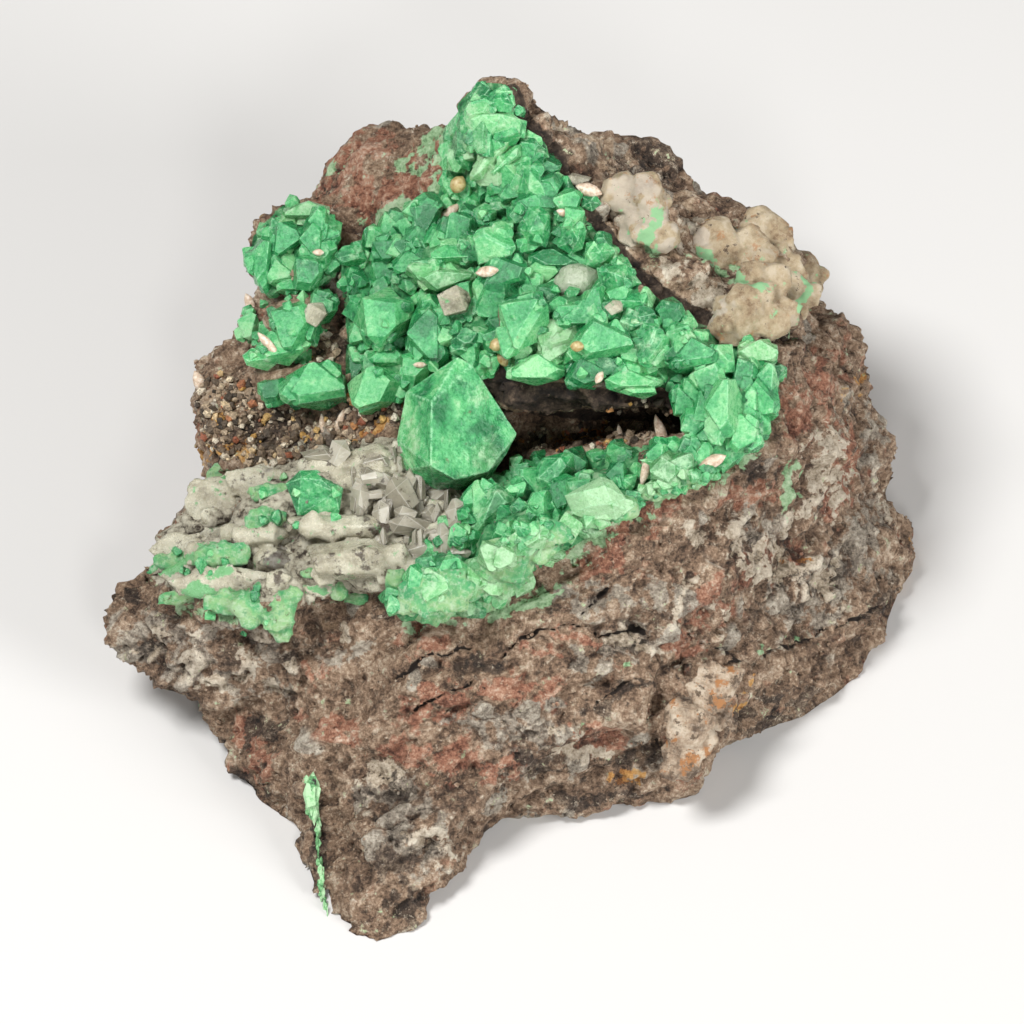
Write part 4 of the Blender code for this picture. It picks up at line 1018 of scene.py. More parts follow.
def green_crusts(ground, rng):
    """The granular green crusts along the ridge, on the tongue and on the pale plates."""
    look = green_crust_material()
    for name, outlines, seed, nodes in GREEN_CRUSTS:
        crust = grown_mass(name, ground, outlines, seed, 0.05, 0.45, 20, (0.14, 0.38), block_corners, 0, rng)
        yield dress(crust, look, "green_crystal", *nodes)


def milky_masses(ground, look, rng):
    """Wide milky masses, and the lumpy plates under and beside them."""
    masses = grown_mass("milky_crystals", ground, MILKY_MASSES, 60, 0.0, 0.8, 2, (0.3, 0.6),
                        glassy_corners, 1, rng)
    bed = []
    for _ in range(MILKY_BED_LUMPS):
        x, y = random_place(rng, PALE_PATCHES, 10)
        bed.append(around(x, y, rng.uniform(24, 46), rng.uniform(18, 32), rng.uniform(-20, 40)))
    plates = grown_mass("milky_plates", ground, MILKY_PLATES + bed, 62, -0.1, 0.3, 3, (0.3, 0.5),
                        block_corners, 1, rng)
    for mass in (masses, plates):
        paint_rock(mass, ground)
    return dress(masses, look, "pale_crystal", "pale_crystal_cluster"), dress(plates, look, "pale_crystal")


# Glassy pointed crystals round the gap beside the big crystal, and a few on the green ones.
GLASSY_CRYSTALS = [
    (384, 476, 420, 518, 125, 30), (388, 514, 434, 538, 160, 20), (424, 478, 462, 510, 40, 30),
    (432, 522, 452, 572, 95, 20), (448, 518, 466, 560, 80, 10), (350, 478, 372, 526, 80, 20),
    (396, 446, 420, 484, 60, 20), (370, 470, 400, 492, 140, 10), (410, 504, 444, 522, 20, 20),
    (446, 498, 466, 534, 100, 30), (360, 450, 392, 472, 20, 20), (404, 540, 436, 560, 20, 10),
    (300, 448, 340, 464, 10, 20), (326, 440, 352, 470, 60, 20), (372, 500, 392, 534, 100, 20),
]
GLASSY_COUNT = 80
CLEAR_CRYSTALS = [
    (437, 285, 471, 317, 20, 20), (300, 302, 328, 328, 60, 20), (560, 172, 592, 190, 165, 10),
    (604, 300, 622, 316, 30, 20),
]


def grow_glassy_crystals(cluster, tree, outlines, rng):
    """One glassy crystal for each outline."""
    for number, outline in enumerate(outlines):
        x, y, _, _ = extent(outline)
        near = nearness_inward(tree, x, y) + 0.15 * half_size(outline)
        shape = glassy_corners(random.Random(2000 + number))
        cluster.add(fitted(shape, outline, near), rng.random(), 0, 0.02)


def fill_glassy_crystals(cluster, tree, patches, count, rng):
    """Slender glassy crystals at random between the others."""
    for _ in range(count):
        x, y = random_place(rng, patches)
        long, thick, turn = rng.uniform(12, 34), rng.uniform(6, 13), rng.uniform(0, 360)
        swing = abs(math.sin(math.radians(turn)))
        wide, tall = long * (1 - swing) + thick * swing, thick * (1 - swing) + long * swing
        outline = around(x, y, wide, tall, turn, rng.uniform(0, 50))
        near = nearness_inward(tree, x, y) + rng.uniform(0.0, 1.0) * half_size(outline)
        cluster.add(fitted(glassy_corners(rng), outline, near), rng.random(), 0, 0.015)


# The green vein: its line down the view and how wide it is there.
VEIN_PATH = [
    (309, 780, 15), (311, 797, 18), (315, 814, 14), (319, 832, 8), (320, 862, 6), (321, 884, 9),
    (325, 902, 5), (329, 912, 4),
]
ROUND_CRYSTAL = (552, 262, 604, 312, 10, 0)
ROUND_CRYSTAL_NEAR = 13.0


def green_vein(tree, rng):
    """Small flat plates along the vein's line, as many as cover its width."""
    vein = Cluster("green_vein_visual")
    for (x0, y0, wide0), (x1, y1, wide1) in zip(VEIN_PATH, VEIN_PATH[1:]):
        for step in range(6):
            part = (step + rng.random()) / 6
            wide = wide0 + (wide1 - wide0) * part
            x = x0 + (x1 - x0) * part + rng.uniform(-0.3, 0.3) * wide
            y = y0 + (y1 - y0) * part
            outline = around(x, y, wide * rng.uniform(0.5, 0.8), max(wide, 9) * rng.uniform(0.8, 1.9),
                             rng.uniform(75, 100))
            near = nearness_inward(tree, x, y) + 0.02
            vein.add(fitted(block_corners(rng), outline, near, 0.35), rng.random(), 0, 0.01)
    vein.build(vein_material(), "green_crystal", "green_vein")


def round_crystal():
    ball = Cluster("round_crystal_visual")
    ball.add(fitted(lump_corners(random.Random(22)), ROUND_CRYSTAL, ROUND_CRYSTAL_NEAR), 0.5, 0, 0.12)
    ball.build(round_material(), "pale_crystal", "round_pale_crystal")


# Rice-shaped and honey-yellow grains that lie on the crystals: middle, length, width and turn in the view.
RICE_GRAINS = [
    (448, 214, 32, 12, 42), (487, 272, 24, 11, 8), (711, 462, 31, 13, 24), (661, 433, 38, 11, 108),
    (645, 470, 34, 9, 76), (589, 190, 28, 13, -18), (563, 213, 14, 8, -20), (599, 378, 14, 8, 60),
    (198, 382, 26, 12, 112), (249, 303, 24, 11, 115), (268, 344, 32, 9, -48), (318, 252, 12, 7, 0),
    (420, 365, 14, 6, 0), (620, 434, 20, 6, 100), (340, 420, 26, 7, 70), (322, 424, 22, 6, 95),
]
HONEY_GRAINS = [
    (458, 184, 19, 16, 60), (504, 360, 18, 12, -50), (497, 345, 16, 13, 20), (577, 347, 14, 11, 0),
]
# Where the shelf and the cave floor carry coarse loose grains: ellipses and how many.
GRAVEL_PLACES = [
    ((262, 436, 62, 30, 0), 420), ((225, 400, 30, 26, 0), 160), ((345, 430, 30, 20, 20), 90),
    ((380, 410, 26, 14, 25), 60), ((580, 440, 60, 14, 0), 130), ((320, 345, 16, 26, 0), 60),
    ((340, 395, 16, 20, 0), 30), ((640, 420, 40, 20, 0), 60), ((300, 280, 24, 10, 0), 24),
]


def rice_grain(bm, tree, place, plump):
    """A grain that lies on the surface and narrows to its ends, the more the less plump it is."""
    x, y, long, wide, turn = place
    near = nearness_inward(tree, x, y) + wide / PHOTO_PX_PER_MM * 0.35
    spin = Matrix.Rotation(math.radians(turn), 3, "Z")
    seed = Vector((x, y, 0)) * 0.1
    for vert in bmesh.ops.create_icosphere(bm, subdivisions=3, radius=1)["verts"]:
        wave = 1 + 0.08 * noise.noise(vert.co * 2.5 + seed)
        thick = wide * (1 - plump * abs(vert.co.x) ** 3)
        local = Vector((vert.co.x * long, vert.co.y * thick, vert.co.z * 0.9 * thick)) * wave / 2
        local = spin @ local * (MM / PHOTO_PX_PER_MM)
        vert.co = seen(x, y, near) + SIDE * local.x + UP * local.y + TOWARDS * local.z


def small_grains(name, tree, places, plump, material, slot):
    bm = bmesh.new()
    for place in places:
        rice_grain(bm, tree, place, plump)
    mesh = mesh_of(name, bm)
    mesh.shade_smooth()
    dress(add_object(name, mesh), material, slot)


def grain_shapes(rng):
    """A few irregular grains of unit size, as points and triangles."""
    shapes = []
    for _ in range(16):
        bm = bmesh.new()
        stretch = Vector((rng.uniform(0.7, 1.3), rng.uniform(0.7, 1.3), rng.uniform(0.6, 1.0)))
        add_hull(bm, [corner * stretch for corner in lump_corners(rng, 10, 0.7, 1.15)])
        bmesh.ops.triangulate(bm, faces=bm.faces)
        bm.verts.index_update()
        shapes.append((np.array([vert.co[:] for vert in bm.verts]),
                       np.array([[vert.index for vert in face.verts] for face in bm.faces])))
        bm.free()
    return shapes


def scattered(name, places, normals, sizes, rng, bury=0.35):
    """A piece of many grains, each turned at random and partly sunk into the surface."""
    shapes = grain_shapes(rng)
    points, faces, tints, first = [], [], [], 0
    for place, normal, size in zip(places, normals, sizes):
        shape, triangles = shapes[rng.randrange(len(shapes))]
        points.append(shape @ np.array(random_spin(rng)).T * size + place + normal * size * (1 - 2 * bury))
        faces.append(triangles + first)
        tints += [rng.random()] * len(triangles)
        first += len(shape)
    points, faces = np.concatenate(points), np.concatenate(faces)
    points[:, 2] = np.maximum(points[:, 2], 0)
    mesh = bpy.data.meshes.new(name)
    mesh.from_pydata(points.tolist(), [], faces.tolist())
    mesh.update()
    give(mesh, "tint", tints, "FACE")
    return add_object(name, mesh)


def rock_grains(rock, tree, material, rng):
    """Angular grains of the rock that stand out of its surface, on all sides but the underside."""
    faces = rock.data.polygons
    area, normal, centre = read(faces, "area", 1)[:, 0], read(faces, "normal", 3), read(faces, "center", 3)
    patchy = smoothstep(-0.1, 0.5, fractal_at(centre, 3.0, 70, 2))
    weight = area * (centre[:, 2] > 0.3 * MM) * (0.1 + patchy)
    chosen = np.random.default_rng(5).choice(len(area), ROCK_GRAINS, p=weight / weight.sum())
    sizes = [rng.uniform(*ROCK_GRAIN_RADIUS) * MM for _ in chosen]
    grains = scattered("rock_grains", centre[chosen], normal[chosen], sizes, rng)
    paint_rock(grains, tree)
    # The grains get one even value of the relief's painted light and shade.
    for name, value in (("relief_light_and_shade", 0.56), ("cell", 0.5), ("cell_depth", 1.0)):
        give(grains.data, name, np.full(len(grains.data.vertices), value))
    dress(grains, material, "rock")


def gravel(tree, material, rng):
    """Coarse loose grains where the viewer sees the ground."""
    places, normals, sizes = [], [], []
    for (cx, cy, rx, ry, _), count in GRAVEL_PLACES:
        for _ in range(count):
            away, angle = math.sqrt(rng.random()), rng.uniform(0, 2 * math.pi)
            hit = looked_at(tree, cx + math.cos(angle) * away * rx, cy + math.sin(angle) * away * ry)
            if not hit:
                continue
            places.append(np.array(hit[0]))
            normals.append(np.array(hit[1]))
            sizes.append((0.06 + 0.24 * rng.random() ** 2) * MM)
    dress(scattered("shelf_gravel", places, normals, sizes, rng, 0.3), material, "rock")


# Materials.

class Shading:
    """A Principled material, with short ways to add its nodes. Lengths in it are in mm."""

    def __init__(self, name):
        self.material = bpy.data.materials.new(name)
        self.material.use_nodes = True
        self.tree = self.material.node_tree
        self.shader = self.tree.nodes["Principled BSDF"]
        coordinates = self.tree.nodes.new("ShaderNodeTexCoord")
        self.place = self.vector("SCALE", coordinates.outputs["Object"], 1 / MM)

    def feed(self, socket, value):
        if isinstance(value, bpy.types.NodeSocket):
            self.tree.links.new(value, socket)
        elif isinstance(value, tuple) and len(value) == 3 and socket.type == "RGBA":
            socket.default_value = (*value, 1)
        else:
            socket.default_value = value

    def add(self, kind, inputs, output, **settings):
        """Adds a node, feeds its inputs by name or number and returns one of its outputs."""
        node = self.tree.nodes.new("ShaderNode" + kind)
        for name, value in settings.items():
            setattr(node, name, value)
        for name, value in inputs.items():
            self.feed(node.inputs[name], value)
        return node.outputs[output]

    def vector(self, operation, a, b):
        second = "Scale" if operation == "SCALE" else 1
        return self.add("VectorMath", {0: a, second: b}, 0, operation=operation)

    def math(self, operation, a, b):
        return self.add("Math", {0: a, 1: b}, 0, operation=operation)

    def plus(self, a, b):
        return self.math("ADD", a, b)

    def times(self, a, b):
        return self.math("MULTIPLY", a, b)

    def attribute(self, name):
        return self.add("Attribute", {}, "Fac", attribute_name=name)

    def noise(self, per_mm, detail, roughness, place=None, output="Fac"):
        return self.add("TexNoise", {"Vector": place or self.place, "Scale": per_mm, "Detail": detail,
                                     "Roughness": roughness}, output)

    def between(self, value, low, high):
        """0 below low and 1 above high, smooth between them."""
        return self.add("MapRange", {"Value": value, "From Min": low, "From Max": high}, "Result",
                        interpolation_type="SMOOTHSTEP")

    def spread(self, value, low, high):
        """0 to 1 spread from low to high."""
        return self.add("MapRange", {"Value": value, "To Min": low, "To Max": high}, "Result")

    def mix(self, factor, a, b, blend="MIX"):
        return self.add("Mix", {0: factor, 6: a, 7: b}, 2, data_type="RGBA", blend_type=blend)

    def cover(self, below, above, share, most=1.0):
        """Lays one colour over another where the share is high, as far as most."""
        return self.mix(share if most == 1.0 else self.times(share, most), below, above)

    def specks(self, below, above, per_mm, detail, roughness, low, high, most=1.0):
        """Lays one colour over another where a noise passes from low to high."""
        return self.cover(below, above, self.between(self.noise(per_mm, detail, roughness), low, high), most)

    def ramp(self, value, *stops):
        node = self.tree.nodes.new("ShaderNodeValToRGB")
        elements = node.color_ramp.elements
        while len(elements) < len(stops):
            elements.new(1.0)
        for element, (position, colour) in zip(elements, stops):
            element.position = position
            element.color = (*colour, 1)
        self.feed(node.inputs["Fac"], value)
        return node.outputs["Color"]

    def bump(self, height, distance, normal=None):
        inputs = {"Strength": 1.0, "Distance": distance * MM, "Height": height}
        if normal:
            inputs["Normal"] = normal
        return self.add("Bump", inputs, "Normal")

    def glow(self, weight, radius, scale):
        """Light that spreads under the surface, with its reach in mm."""
        self.set(Subsurface_Weight=weight, Subsurface_Radius=radius, Subsurface_Scale=scale * MM)

    def set(self, **values):
        for name, value in values.items():
            self.feed(self.shader.inputs[name.replace("_", " ")], value)
        return self.material


# How high the mottle of the rock, noise with painted light on the crests and painted shade in the hollows,
# is at the hollows, the low ground, the high ground and the crests.
ROCK_LEVELS = (0.422, 0.468, 0.517, 0.580)
# The colours of each kind of rock there.
ROCK_COLOURS = {
    "brown": ((0.050, 0.031, 0.021), (0.180, 0.112, 0.070), (0.335, 0.225, 0.145), (0.640, 0.510, 0.380)),
    "red": ((0.095, 0.035, 0.022), (0.275, 0.105, 0.062), (0.430, 0.205, 0.125), (0.650, 0.450, 0.330)),
    "grey": ((0.075, 0.060, 0.046), (0.225, 0.188, 0.145), (0.375, 0.325, 0.258), (0.640, 0.580, 0.475)),
    "pale": ((0.210, 0.162, 0.108), (0.430, 0.350, 0.255), (0.600, 0.515, 0.400), (0.780, 0.710, 0.580)),
    "tan": ((0.110, 0.068, 0.040), (0.290, 0.195, 0.120), (0.455, 0.335, 0.225), (0.690, 0.575, 0.430)),
    "dark": ((0.012, 0.009, 0.007), (0.042, 0.028, 0.020), (0.105, 0.070, 0.048), (0.340, 0.260, 0.180)),
    "mint": ((0.110, 0.220, 0.100), (0.260, 0.440, 0.220), (0.400, 0.590, 0.340), (0.600, 0.730, 0.500)),
    "rust": ((0.130, 0.050, 0.015), (0.380, 0.160, 0.040), (0.560, 0.300, 0.090), (0.680, 0.460, 0.220)),
    # The step colours are painted shade along the step edge and under the lip.
    "step": ((0.010, 0.007, 0.005), (0.028, 0.018, 0.012), (0.060, 0.040, 0.027), (0.150, 0.105, 0.070)),
}


def rock_material():
    """Iron-stained broken rock: brown ground with red, dark, grey and pale parts. Crests are painted paler as
    light and hollows darker as shade."""
    s = Shading("rock")
    bent = s.vector("ADD", s.place, s.vector("SCALE", s.noise(1.1, 5, 0.6, output="Color"), 0.5))
    streaks = s.noise(0.9, 8, 0.68, bent)
    middle = s.noise(1.7, 10, 0.72)
    fine = s.noise(5.0, 9, 0.80)
    # The mottle takes painted light on the crests and painted shade in the hollows and pits from the relief.
    mottle = s.plus(s.plus(s.times(middle, 0.30), s.times(fine, 0.45)), s.times(s.attribute("relief_light_and_shade"), 0.25))
    kinds = {kind: s.ramp(mottle, *zip(ROCK_LEVELS, colours)) for kind, colours in ROCK_COLOURS.items()}

    def layer(below, kind, above, weight, detail, soft=0.07, most=1.0):
        """Lays a kind of rock over the others where its share and the noise together are high."""
        reach = s.plus(s.times(s.attribute(kind), weight), detail)
        edge = 0.5 + weight / 2
        return s.cover(below, above, s.between(reach, edge - soft / 2, edge + soft / 2), most)

    colour = layer(kinds["brown"], "red", kinds["red"], 0.28, streaks, 0.10, 0.85)
    colour = layer(colour, "tan", kinds["tan"], 0.34, streaks, 0.10)
    colour = layer(colour, "grey", kinds["grey"], 0.22, middle, 0.06, 0.9)
    plaque = s.times(s.between(s.attribute("cell_depth"), 0.05, 0.18), s.between(fine, 0.36, 0.46))
    share = s.plus(s.attribute("cell"), s.times(s.attribute("cobbled"), 0.40))
    colour = s.mix(s.times(plaque, s.between(share, 0.90, 0.95)), colour, kinds["grey"])
    colour = s.mix(s.times(plaque, s.between(share, 1.18, 1.23)), colour, kinds["pale"])
    # Painted shade in the grooves between the cobbles.
    gap = s.times(s.between(s.attribute("cell_depth"), 0.12, 0.02), s.attribute("cobbled"))
    colour = s.cover(colour, kinds["dark"], gap, 0.8)
    colour = layer(colour, "dark", kinds["dark"], 0.26, middle, 0.06, 0.95)
    colour = layer(colour, "pale", kinds["pale"], 0.28, middle, 0.04)
    colour = s.specks(colour, kinds["dark"], 2.3, 10, 0.80, 0.58, 0.62)
    colour = s.cover(colour, kinds["pale"], s.between(s.noise(3.0, 10, 0.82, bent), 0.570, 0.610))
    colour = layer(colour, "rust", kinds["rust"], 0.30, middle)
    colour = layer(colour, "mint", kinds["mint"], 0.30, middle)
    green = s.ramp(middle, (0.36, (0.012, 0.10, 0.035)), (0.46, (0.035, 0.25, 0.08)),
                   (0.54, (0.11, 0.38, 0.15)), (0.62, (0.32, 0.55, 0.30)))
    colour = layer(colour, "green_ground", green, 1.4, middle, 0.12)
    milky = s.ramp(middle, (0.40, (0.050, 0.036, 0.025)), (0.46, (0.330, 0.295, 0.220)),
                   (0.54, (0.560, 0.520, 0.400)), (0.62, (0.680, 0.640, 0.510)))
    colour = layer(colour, "milky_ground", milky, 1.4, middle, 0.12)
    # Painted shade: a near-black band along the step edge and under the lip.
    colour = layer(colour, "step", kinds["step"], 0.5, fine, 0.10)
    # Painted shade: the bottoms of the cracks are near black.
    colour = s.cover(colour, (0.020, 0.013, 0.009), s.between(s.attribute("crack"), 0.45, 0.75))
    relief = s.plus(s.times(middle, 0.6), s.times(fine, 0.4))
    return s.set(Base_Color=colour, Roughness=s.spread(fine, 0.95, 0.55), Normal=s.bump(relief, 0.42),
                 Specular_IOR_Level=0.4)


def green_material():
    """Green crystals: satin faces, each of its own depth, with slightly paler edges, partly frost and partly
    painted highlight, and powdery patches.
    """
    s = Shading("green_crystal")
    cloud = s.noise(0.9, 6, 0.66)
    fine = s.noise(5.0, 8, 0.72)
    shade = s.plus(s.attribute("tint"), s.times(s.math("SUBTRACT", cloud, 0.5), 1.6))
    shade = s.plus(shade, s.times(s.math("SUBTRACT", fine, 0.5), 1.4))
    colour = s.ramp(shade, (0.00, (0.010, 0.160, 0.050)), (0.30, (0.032, 0.300, 0.095)),
                    (0.60, (0.085, 0.435, 0.150)), (0.95, (0.235, 0.570, 0.250)))
    colour = s.cover(colour, (0.250, 0.475, 0.180), s.between(s.attribute("pale"), 0.2, 0.6), 0.5)
    powder = s.plus(s.times(s.attribute("pale"), 0.22), s.noise(1.8, 10, 0.78))
    colour = s.cover(colour, (0.40, 0.60, 0.37), s.between(powder, 0.54, 0.68), 0.65)
    # The pale edges are partly frost and partly painted highlight.
    edge = s.times(s.attribute("edge"), s.between(fine, 0.42, 0.58))
    colour = s.cover(colour, (0.42, 0.72, 0.46), edge, 0.5)
    colour = s.specks(colour, (0.16, 0.115, 0.055), 1.5, 9, 0.80, 0.61, 0.66, 0.7)
    s.glow(0.2, (0.5, 1.0, 0.6), 0.3)
    return s.set(Base_Color=colour, Roughness=s.spread(fine, 0.05, 0.50), IOR=1.7,
                 Normal=s.bump(cloud, 0.14, s.bump(fine, 0.08)))


def green_crust_material():
    """Granular crust, yellow-green to mint, with powdery crests and a few brown pits."""
    s = Shading("green_crust")
    cloud = s.noise(0.7, 7, 0.66)
    fine = s.noise(4.5, 9, 0.78)
    colour = s.ramp(cloud, (0.38, (0.060, 0.370, 0.140)), (0.46, (0.140, 0.460, 0.180)),
                    (0.54, (0.310, 0.540, 0.240)), (0.63, (0.400, 0.600, 0.350)))
    colour = s.cover(colour, (0.540, 0.680, 0.470), s.between(fine, 0.48, 0.60), 0.6)
    colour = s.specks(colour, (0.045, 0.320, 0.110), 1.4, 8, 0.7, 0.56, 0.64, 0.7)
    colour = s.specks(colour, (0.12, 0.085, 0.045), 2.4, 10, 0.82, 0.585, 0.63)
    s.glow(0.15, (0.7, 1.0, 0.6), 0.3)
    return s.set(Base_Color=colour, Roughness=s.spread(fine, 0.75, 0.35), Normal=s.bump(fine, 0.20))


def milky_material():
    """Milky grey to cream masses, slightly see-through, with a few dark brown films between them."""
    s = Shading("milky_crystal")
    cloud = s.noise(0.7, 8, 0.62)
    fine = s.noise(4.0, 9, 0.76)
    colour = s.ramp(cloud, (0.36, (0.29, 0.262, 0.190)), (0.46, (0.46, 0.425, 0.310)),
                    (0.55, (0.57, 0.540, 0.410)), (0.66, (0.68, 0.650, 0.51)))
    colour = s.cover(colour, (0.74, 0.70, 0.56), s.between(fine, 0.50, 0.62), 0.35)
    colour = s.cover(colour, (0.13, 0.115, 0.095), s.between(s.attribute("dark"), 0.1, 0.5), 0.8)
    films = s.plus(s.noise(1.1, 10, 0.76), s.times(s.attribute("dark"), 0.10))
    colour = s.cover(colour, (0.060, 0.040, 0.026), s.between(films, 0.565, 0.60), 0.85)
    mint = s.plus(s.times(s.attribute("mint"), 0.3), s.noise(1.6, 10, 0.75))
    colour = s.cover(colour, (0.17, 0.44, 0.18), s.between(mint, 0.59, 0.64))
    s.glow(0.2, (1.0, 0.9, 0.75), 0.4)
    return s.set(Base_Color=colour, Roughness=s.spread(fine, 0.08, 0.45), Normal=s.bump(fine, 0.08),
                 Transmission_Weight=0.2, IOR=1.55)


def glassy_material():
    """Clear grey crystals with milky clouds."""
    s = Shading("glassy_crystal")
    milk = s.plus(s.times(s.attribute("tint"), 0.5), s.times(s.noise(1.2, 6, 0.55), 0.7))
    fine = s.noise(6.0, 6, 0.65)
    colour = s.ramp(milk, (0.30, (0.30, 0.27, 0.20)), (0.55, (0.52, 0.48, 0.37)), (0.80, (0.80, 0.75, 0.62)))
    colour = s.specks(colour, (0.10, 0.07, 0.045), 1.9, 9, 0.78, 0.57, 0.62, 0.8)
    # The pale edges are partly frost and partly painted highlight.
    colour = s.cover(colour, (0.80, 0.77, 0.68), s.attribute("edge"), 0.5)
    s.glow(0.1, (1.0, 0.95, 0.85), 0.3)
    return s.set(Base_Color=colour, Roughness=s.spread(fine, 0.05, 0.30), Normal=s.bump(fine, 0.04),
                 Transmission_Weight=0.5, IOR=1.55)


def tan_material():
    """Cream to tan knobbly crust with pink and rusty stains, brown crevices and mint patches."""
    s = Shading("tan_crust")
    cloud = s.noise(0.8, 9, 0.70)
    fine = s.noise(4.0, 9, 0.78)
    colour = s.ramp(cloud, (0.38, (0.21, 0.135, 0.075)), (0.46, (0.37, 0.280, 0.170)),
                    (0.54, (0.47, 0.375, 0.245)), (0.62, (0.55, 0.465, 0.335)))
    colour = s.cover(colour, (0.62, 0.535, 0.40), s.between(fine, 0.50, 0.62), 0.4)
    colour = s.cover(colour, (0.56, 0.50, 0.42), s.between(s.attribute("pale"), 0.2, 0.6), 0.6)
    colour = s.specks(colour, (0.42, 0.19, 0.07), 1.3, 9, 0.74, 0.57, 0.65, 0.7)
    colour = s.specks(colour, (0.10, 0.065, 0.04), 2.0, 10, 0.80, 0.585, 0.62)
    mint = s.plus(s.times(s.attribute("mint"), 0.32), s.noise(1.7, 10, 0.74))
    colour = s.cover(colour, (0.28, 0.53, 0.27), s.between(mint, 0.60, 0.66))
    s.glow(0.12, (1.0, 0.7, 0.5), 0.4)
    return s.set(Base_Color=colour, Roughness=s.spread(fine, 0.85, 0.45), Normal=s.bump(fine, 0.16))


def white_material():
    """Broken cream vein with rusty edges and brown specks."""
    s = Shading("white_patch")
    fine = s.noise(4.0, 9, 0.76)
    cloud = s.noise(0.8, 9, 0.70)
    colour = s.ramp(cloud, (0.40, (0.10, 0.065, 0.042)), (0.47, (0.25, 0.175, 0.115)),
                    (0.54, (0.42, 0.315, 0.220)), (0.62, (0.58, 0.485, 0.370)))
    colour = s.cover(colour, (0.66, 0.56, 0.43), s.between(fine, 0.49, 0.60), 0.35)
    colour = s.specks(colour, (0.40, 0.18, 0.065), 1.1, 8, 0.70, 0.54, 0.60)
    colour = s.specks(colour, (0.12, 0.08, 0.05), 1.9, 10, 0.80, 0.54, 0.58)
    return s.set(Base_Color=colour, Roughness=s.spread(fine, 0.85, 0.45), Normal=s.bump(fine, 0.18))


def vein_material():
    """Green vein stuff, scaly, with dark gaps."""
    s = Shading("green_vein")
    fine = s.noise(7.0, 6, 0.65)
    cloud = s.plus(s.noise(2.4, 7, 0.7), s.times(s.attribute("tint"), 0.2))
    colour = s.ramp(cloud, (0.42, (0.020, 0.018, 0.014)), (0.50, (0.09, 0.26, 0.10)),
                    (0.58, (0.20, 0.48, 0.20)), (0.68, (0.42, 0.66, 0.38)))
    return s.set(Base_Color=colour, Roughness=s.spread(fine, 0.8, 0.4), Normal=s.bump(fine, 0.12))


def round_material():
    """Pale grey-green crystal, clouded inside."""
    s = Shading("round_crystal")
    fine = s.noise(4.0, 6, 0.62)
    colour = s.ramp(fine, (0.30, (0.34, 0.42, 0.27)), (0.62, (0.56, 0.62, 0.47)))
    s.glow(0.3, (0.9, 1.0, 0.8), 0.5)
    return s.set(Base_Color=colour, Roughness=s.spread(fine, 0.15, 0.45), Normal=s.bump(fine, 0.08),
                 Transmission_Weight=0.25, IOR=1.55)


def rice_material():
    s = Shading("rice_grains")
    streak = s.noise(5.0, 6, 0.65)
    colour = s.ramp(streak, (0.30, (0.34, 0.22, 0.14)), (0.50, (0.60, 0.47, 0.35)),
                    (0.66, (0.80, 0.71, 0.60)))
    s.glow(0.2, (1.0, 0.7, 0.5), 0.3)
    return s.set(Base_Color=colour, Roughness=0.45, Normal=s.bump(streak, 0.06))


def honey_material():
    s = Shading("honey_grains")
    fine = s.noise(5.0, 6, 0.62)
    colour = s.ramp(fine, (0.30, (0.42, 0.26, 0.07)), (0.65, (0.80, 0.66, 0.34)))
    return s.set(Base_Color=colour, Roughness=0.25, Normal=s.bump(fine, 0.05), Transmission_Weight=0.35,
                 IOR=1.6)


def gravel_material():
    """Loose grains of many kinds: mostly black and brown, with some gold, red and glassy white."""
    s = Shading("gravel")
    fine = s.noise(9.0, 6, 0.7)
    kinds = s.ramp(s.attribute("tint"), (0.0, (0.035, 0.026, 0.018)), (0.22, (0.110, 0.078, 0.050)),
                   (0.45, (0.260, 0.185, 0.120)), (0.66, (0.480, 0.370, 0.250)),
                   (0.82, (0.760, 0.690, 0.550)), (0.93, (0.520, 0.310, 0.080)),
                   (0.98, (0.340, 0.115, 0.060)))
    speckle = s.ramp(fine, (0.36, (0.25, 0.22, 0.20)), (0.50, (0.8, 0.8, 0.8)), (0.64, (1.5, 1.5, 1.45)))
    colour = s.mix(0.8, kinds, speckle, "MULTIPLY")
    return s.set(Base_Color=colour, Roughness=s.spread(fine, 0.75, 0.25), Normal=s.bump(fine, 0.08))


# The floor, the lights and the camera.

def stage_floor():
    bm = bmesh.new()
    bmesh.ops.create_grid(bm, x_segments=1, y_segments=1, size=4)
    floor = add_object("floor", mesh_of("floor", bm))
    floor.data.materials.append(Shading("floor").set(Base_Color=(0.60, 0.59, 0.575), Roughness=0.7))
    floor.location.z = -0.02 * MM


WORLD_LIGHT = 0.21
# Round lights: place, size in metres and power.
LIGHTS = {
    "key": ((-0.13, -0.06, 0.31), 0.11, 1.25),
    "right": ((0.28, -0.20, 0.16), 0.18, 1.15),
    "front": ((0.03, -0.27, 0.22), 0.06, 0.28),
}
LIT_POINT = Vector((0, 0, 0.01))


def studio():
    """Soft light from above the left, the right and the front, and an even pale world."""
    world = bpy.data.worlds.new("studio")
    bpy.context.scene.world = world
    world.use_nodes = True
    background = world.node_tree.nodes["Background"]
    background.inputs["Color"].default_value = (1.0, 0.985, 0.96, 1)
    background.inputs["Strength"].default_value = WORLD_LIGHT
    for name, (place, size, power) in LIGHTS.items():
        light = bpy.data.lights.new(name, "AREA")
        light.shape = "DISK"
        light.size = size
        light.energy = power
        obj = add_object(name, light)
        obj.location = place
        obj.rotation_mode = "QUATERNION"
        obj.rotation_quaternion = (LIT_POINT - obj.location).to_track_quat("-Z", "Y")
    view = bpy.context.scene.view_settings
    view.view_transform = "Standard"
    view.look = "None"


CAMERA_DISTANCE = 1200
CAMERA_DEPTH = 12


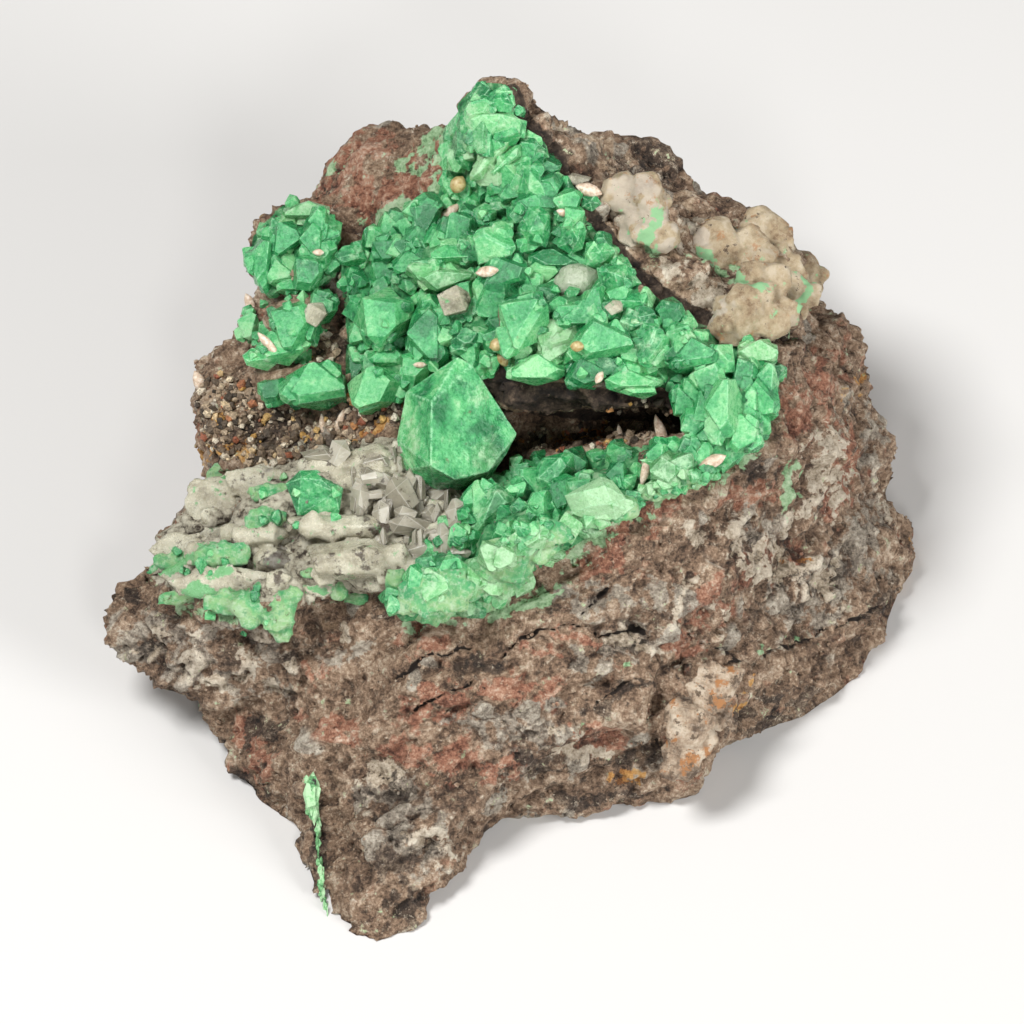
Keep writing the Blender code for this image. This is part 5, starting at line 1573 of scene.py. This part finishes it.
def photo_camera():
    """Looks as the photograph does, from far off with a long lens."""
    data = bpy.data.cameras.new("camera")
    data.sensor_width = 36
    wide = 2 * PHOTO_MIDDLE / PHOTO_PX_PER_MM
    data.lens = data.sensor_width * CAMERA_DISTANCE / wide
    data.clip_start, data.clip_end = 0.05, 20
    camera = add_object("camera", data)
    camera.location = seen(PHOTO_MIDDLE, PHOTO_MIDDLE, CAMERA_DEPTH + CAMERA_DISTANCE)
    camera.rotation_euler = (math.pi / 2 - VIEW_ELEVATION, 0, 0)
    bpy.context.scene.camera = camera


def broken_rock():
    rock = rock_base()
    carve_rock(rock)
    thin_out(rock)
    ground = tree_of(rock)
    paint_rock(rock, ground)
    rock.data.shade_smooth()
    return rock, ground


rng = random.Random(7)
rock, ground = broken_rock()
rock_look, green, milky_look = rock_material(), green_material(), milky_material()
dress(rock, rock_look, "rock", "matrix")

grown = [rock]
for name, node, outlines, patches, seed, count, sizes in GREEN_GROWTHS:
    cluster = Cluster(name)
    grow_crystals(cluster, ground, outlines, seed, rng)
    fill_crystals(cluster, ground, patches, count, sizes, rng)
    grown.append(cluster.build(green, "green_crystal", node))
large_crystal(green)
grown += green_crusts(ground, rng)
traced = Cluster("traced_crystals")
grow_traced_crystals(traced, ground)
grown.append(traced.build(green, "green_crystal"))

masses, plates = milky_masses(ground, milky_look, rng)
glassy = Cluster("glassy_crystals")
bed = tree_of(rock, plates)
grow_glassy_crystals(glassy, bed, GLASSY_CRYSTALS, rng)
fill_glassy_crystals(glassy, bed, GLASSY_PATCHES, GLASSY_COUNT, rng)
grown += [masses, plates, glassy.build(glassy_material(), "pale_crystal")]

tan = grown_mass("tan_crust_visual", ground, CRUST_LUMPS, 50, -0.2, 0.7, 7, (0.35, 0.8), block_corners, 2,
                 rng)
paint_rock(tan, ground)
dress(tan, tan_material(), "tan_crust", "tan_crust")
white = grown_mass("white_patch_visual", ground, VEIN_LUMPS, 54, -0.1, 0.45, 7, (0.3, 0.6), block_corners, 1,
                   rng)
dress(white, white_material(), "pale_crystal", "white_patch")
green_vein(ground, rng)
round_crystal()

surface = tree_of(*grown)
druse = Cluster("druse_crystals")
for patches, count in DRUSE_PATCHES:
    fill_crystals(druse, surface, patches, count, DRUSE_SIZES, rng, 0.0)
druse.build(green, "green_crystal")
clear = Cluster("clear_crystals")
grow_glassy_crystals(clear, surface, CLEAR_CRYSTALS, rng)
clear.build(milky_look, "pale_crystal")
small_grains("rice_grains", surface, RICE_GRAINS, 0.55, rice_material(), "tan_crust")
small_grains("honey_grains", surface, HONEY_GRAINS, 0.3, honey_material(), "pale_crystal")
rock_grains(rock, ground, rock_look, rng)
gravel(ground, gravel_material(), rng)

stage_floor()
studio()
photo_camera()
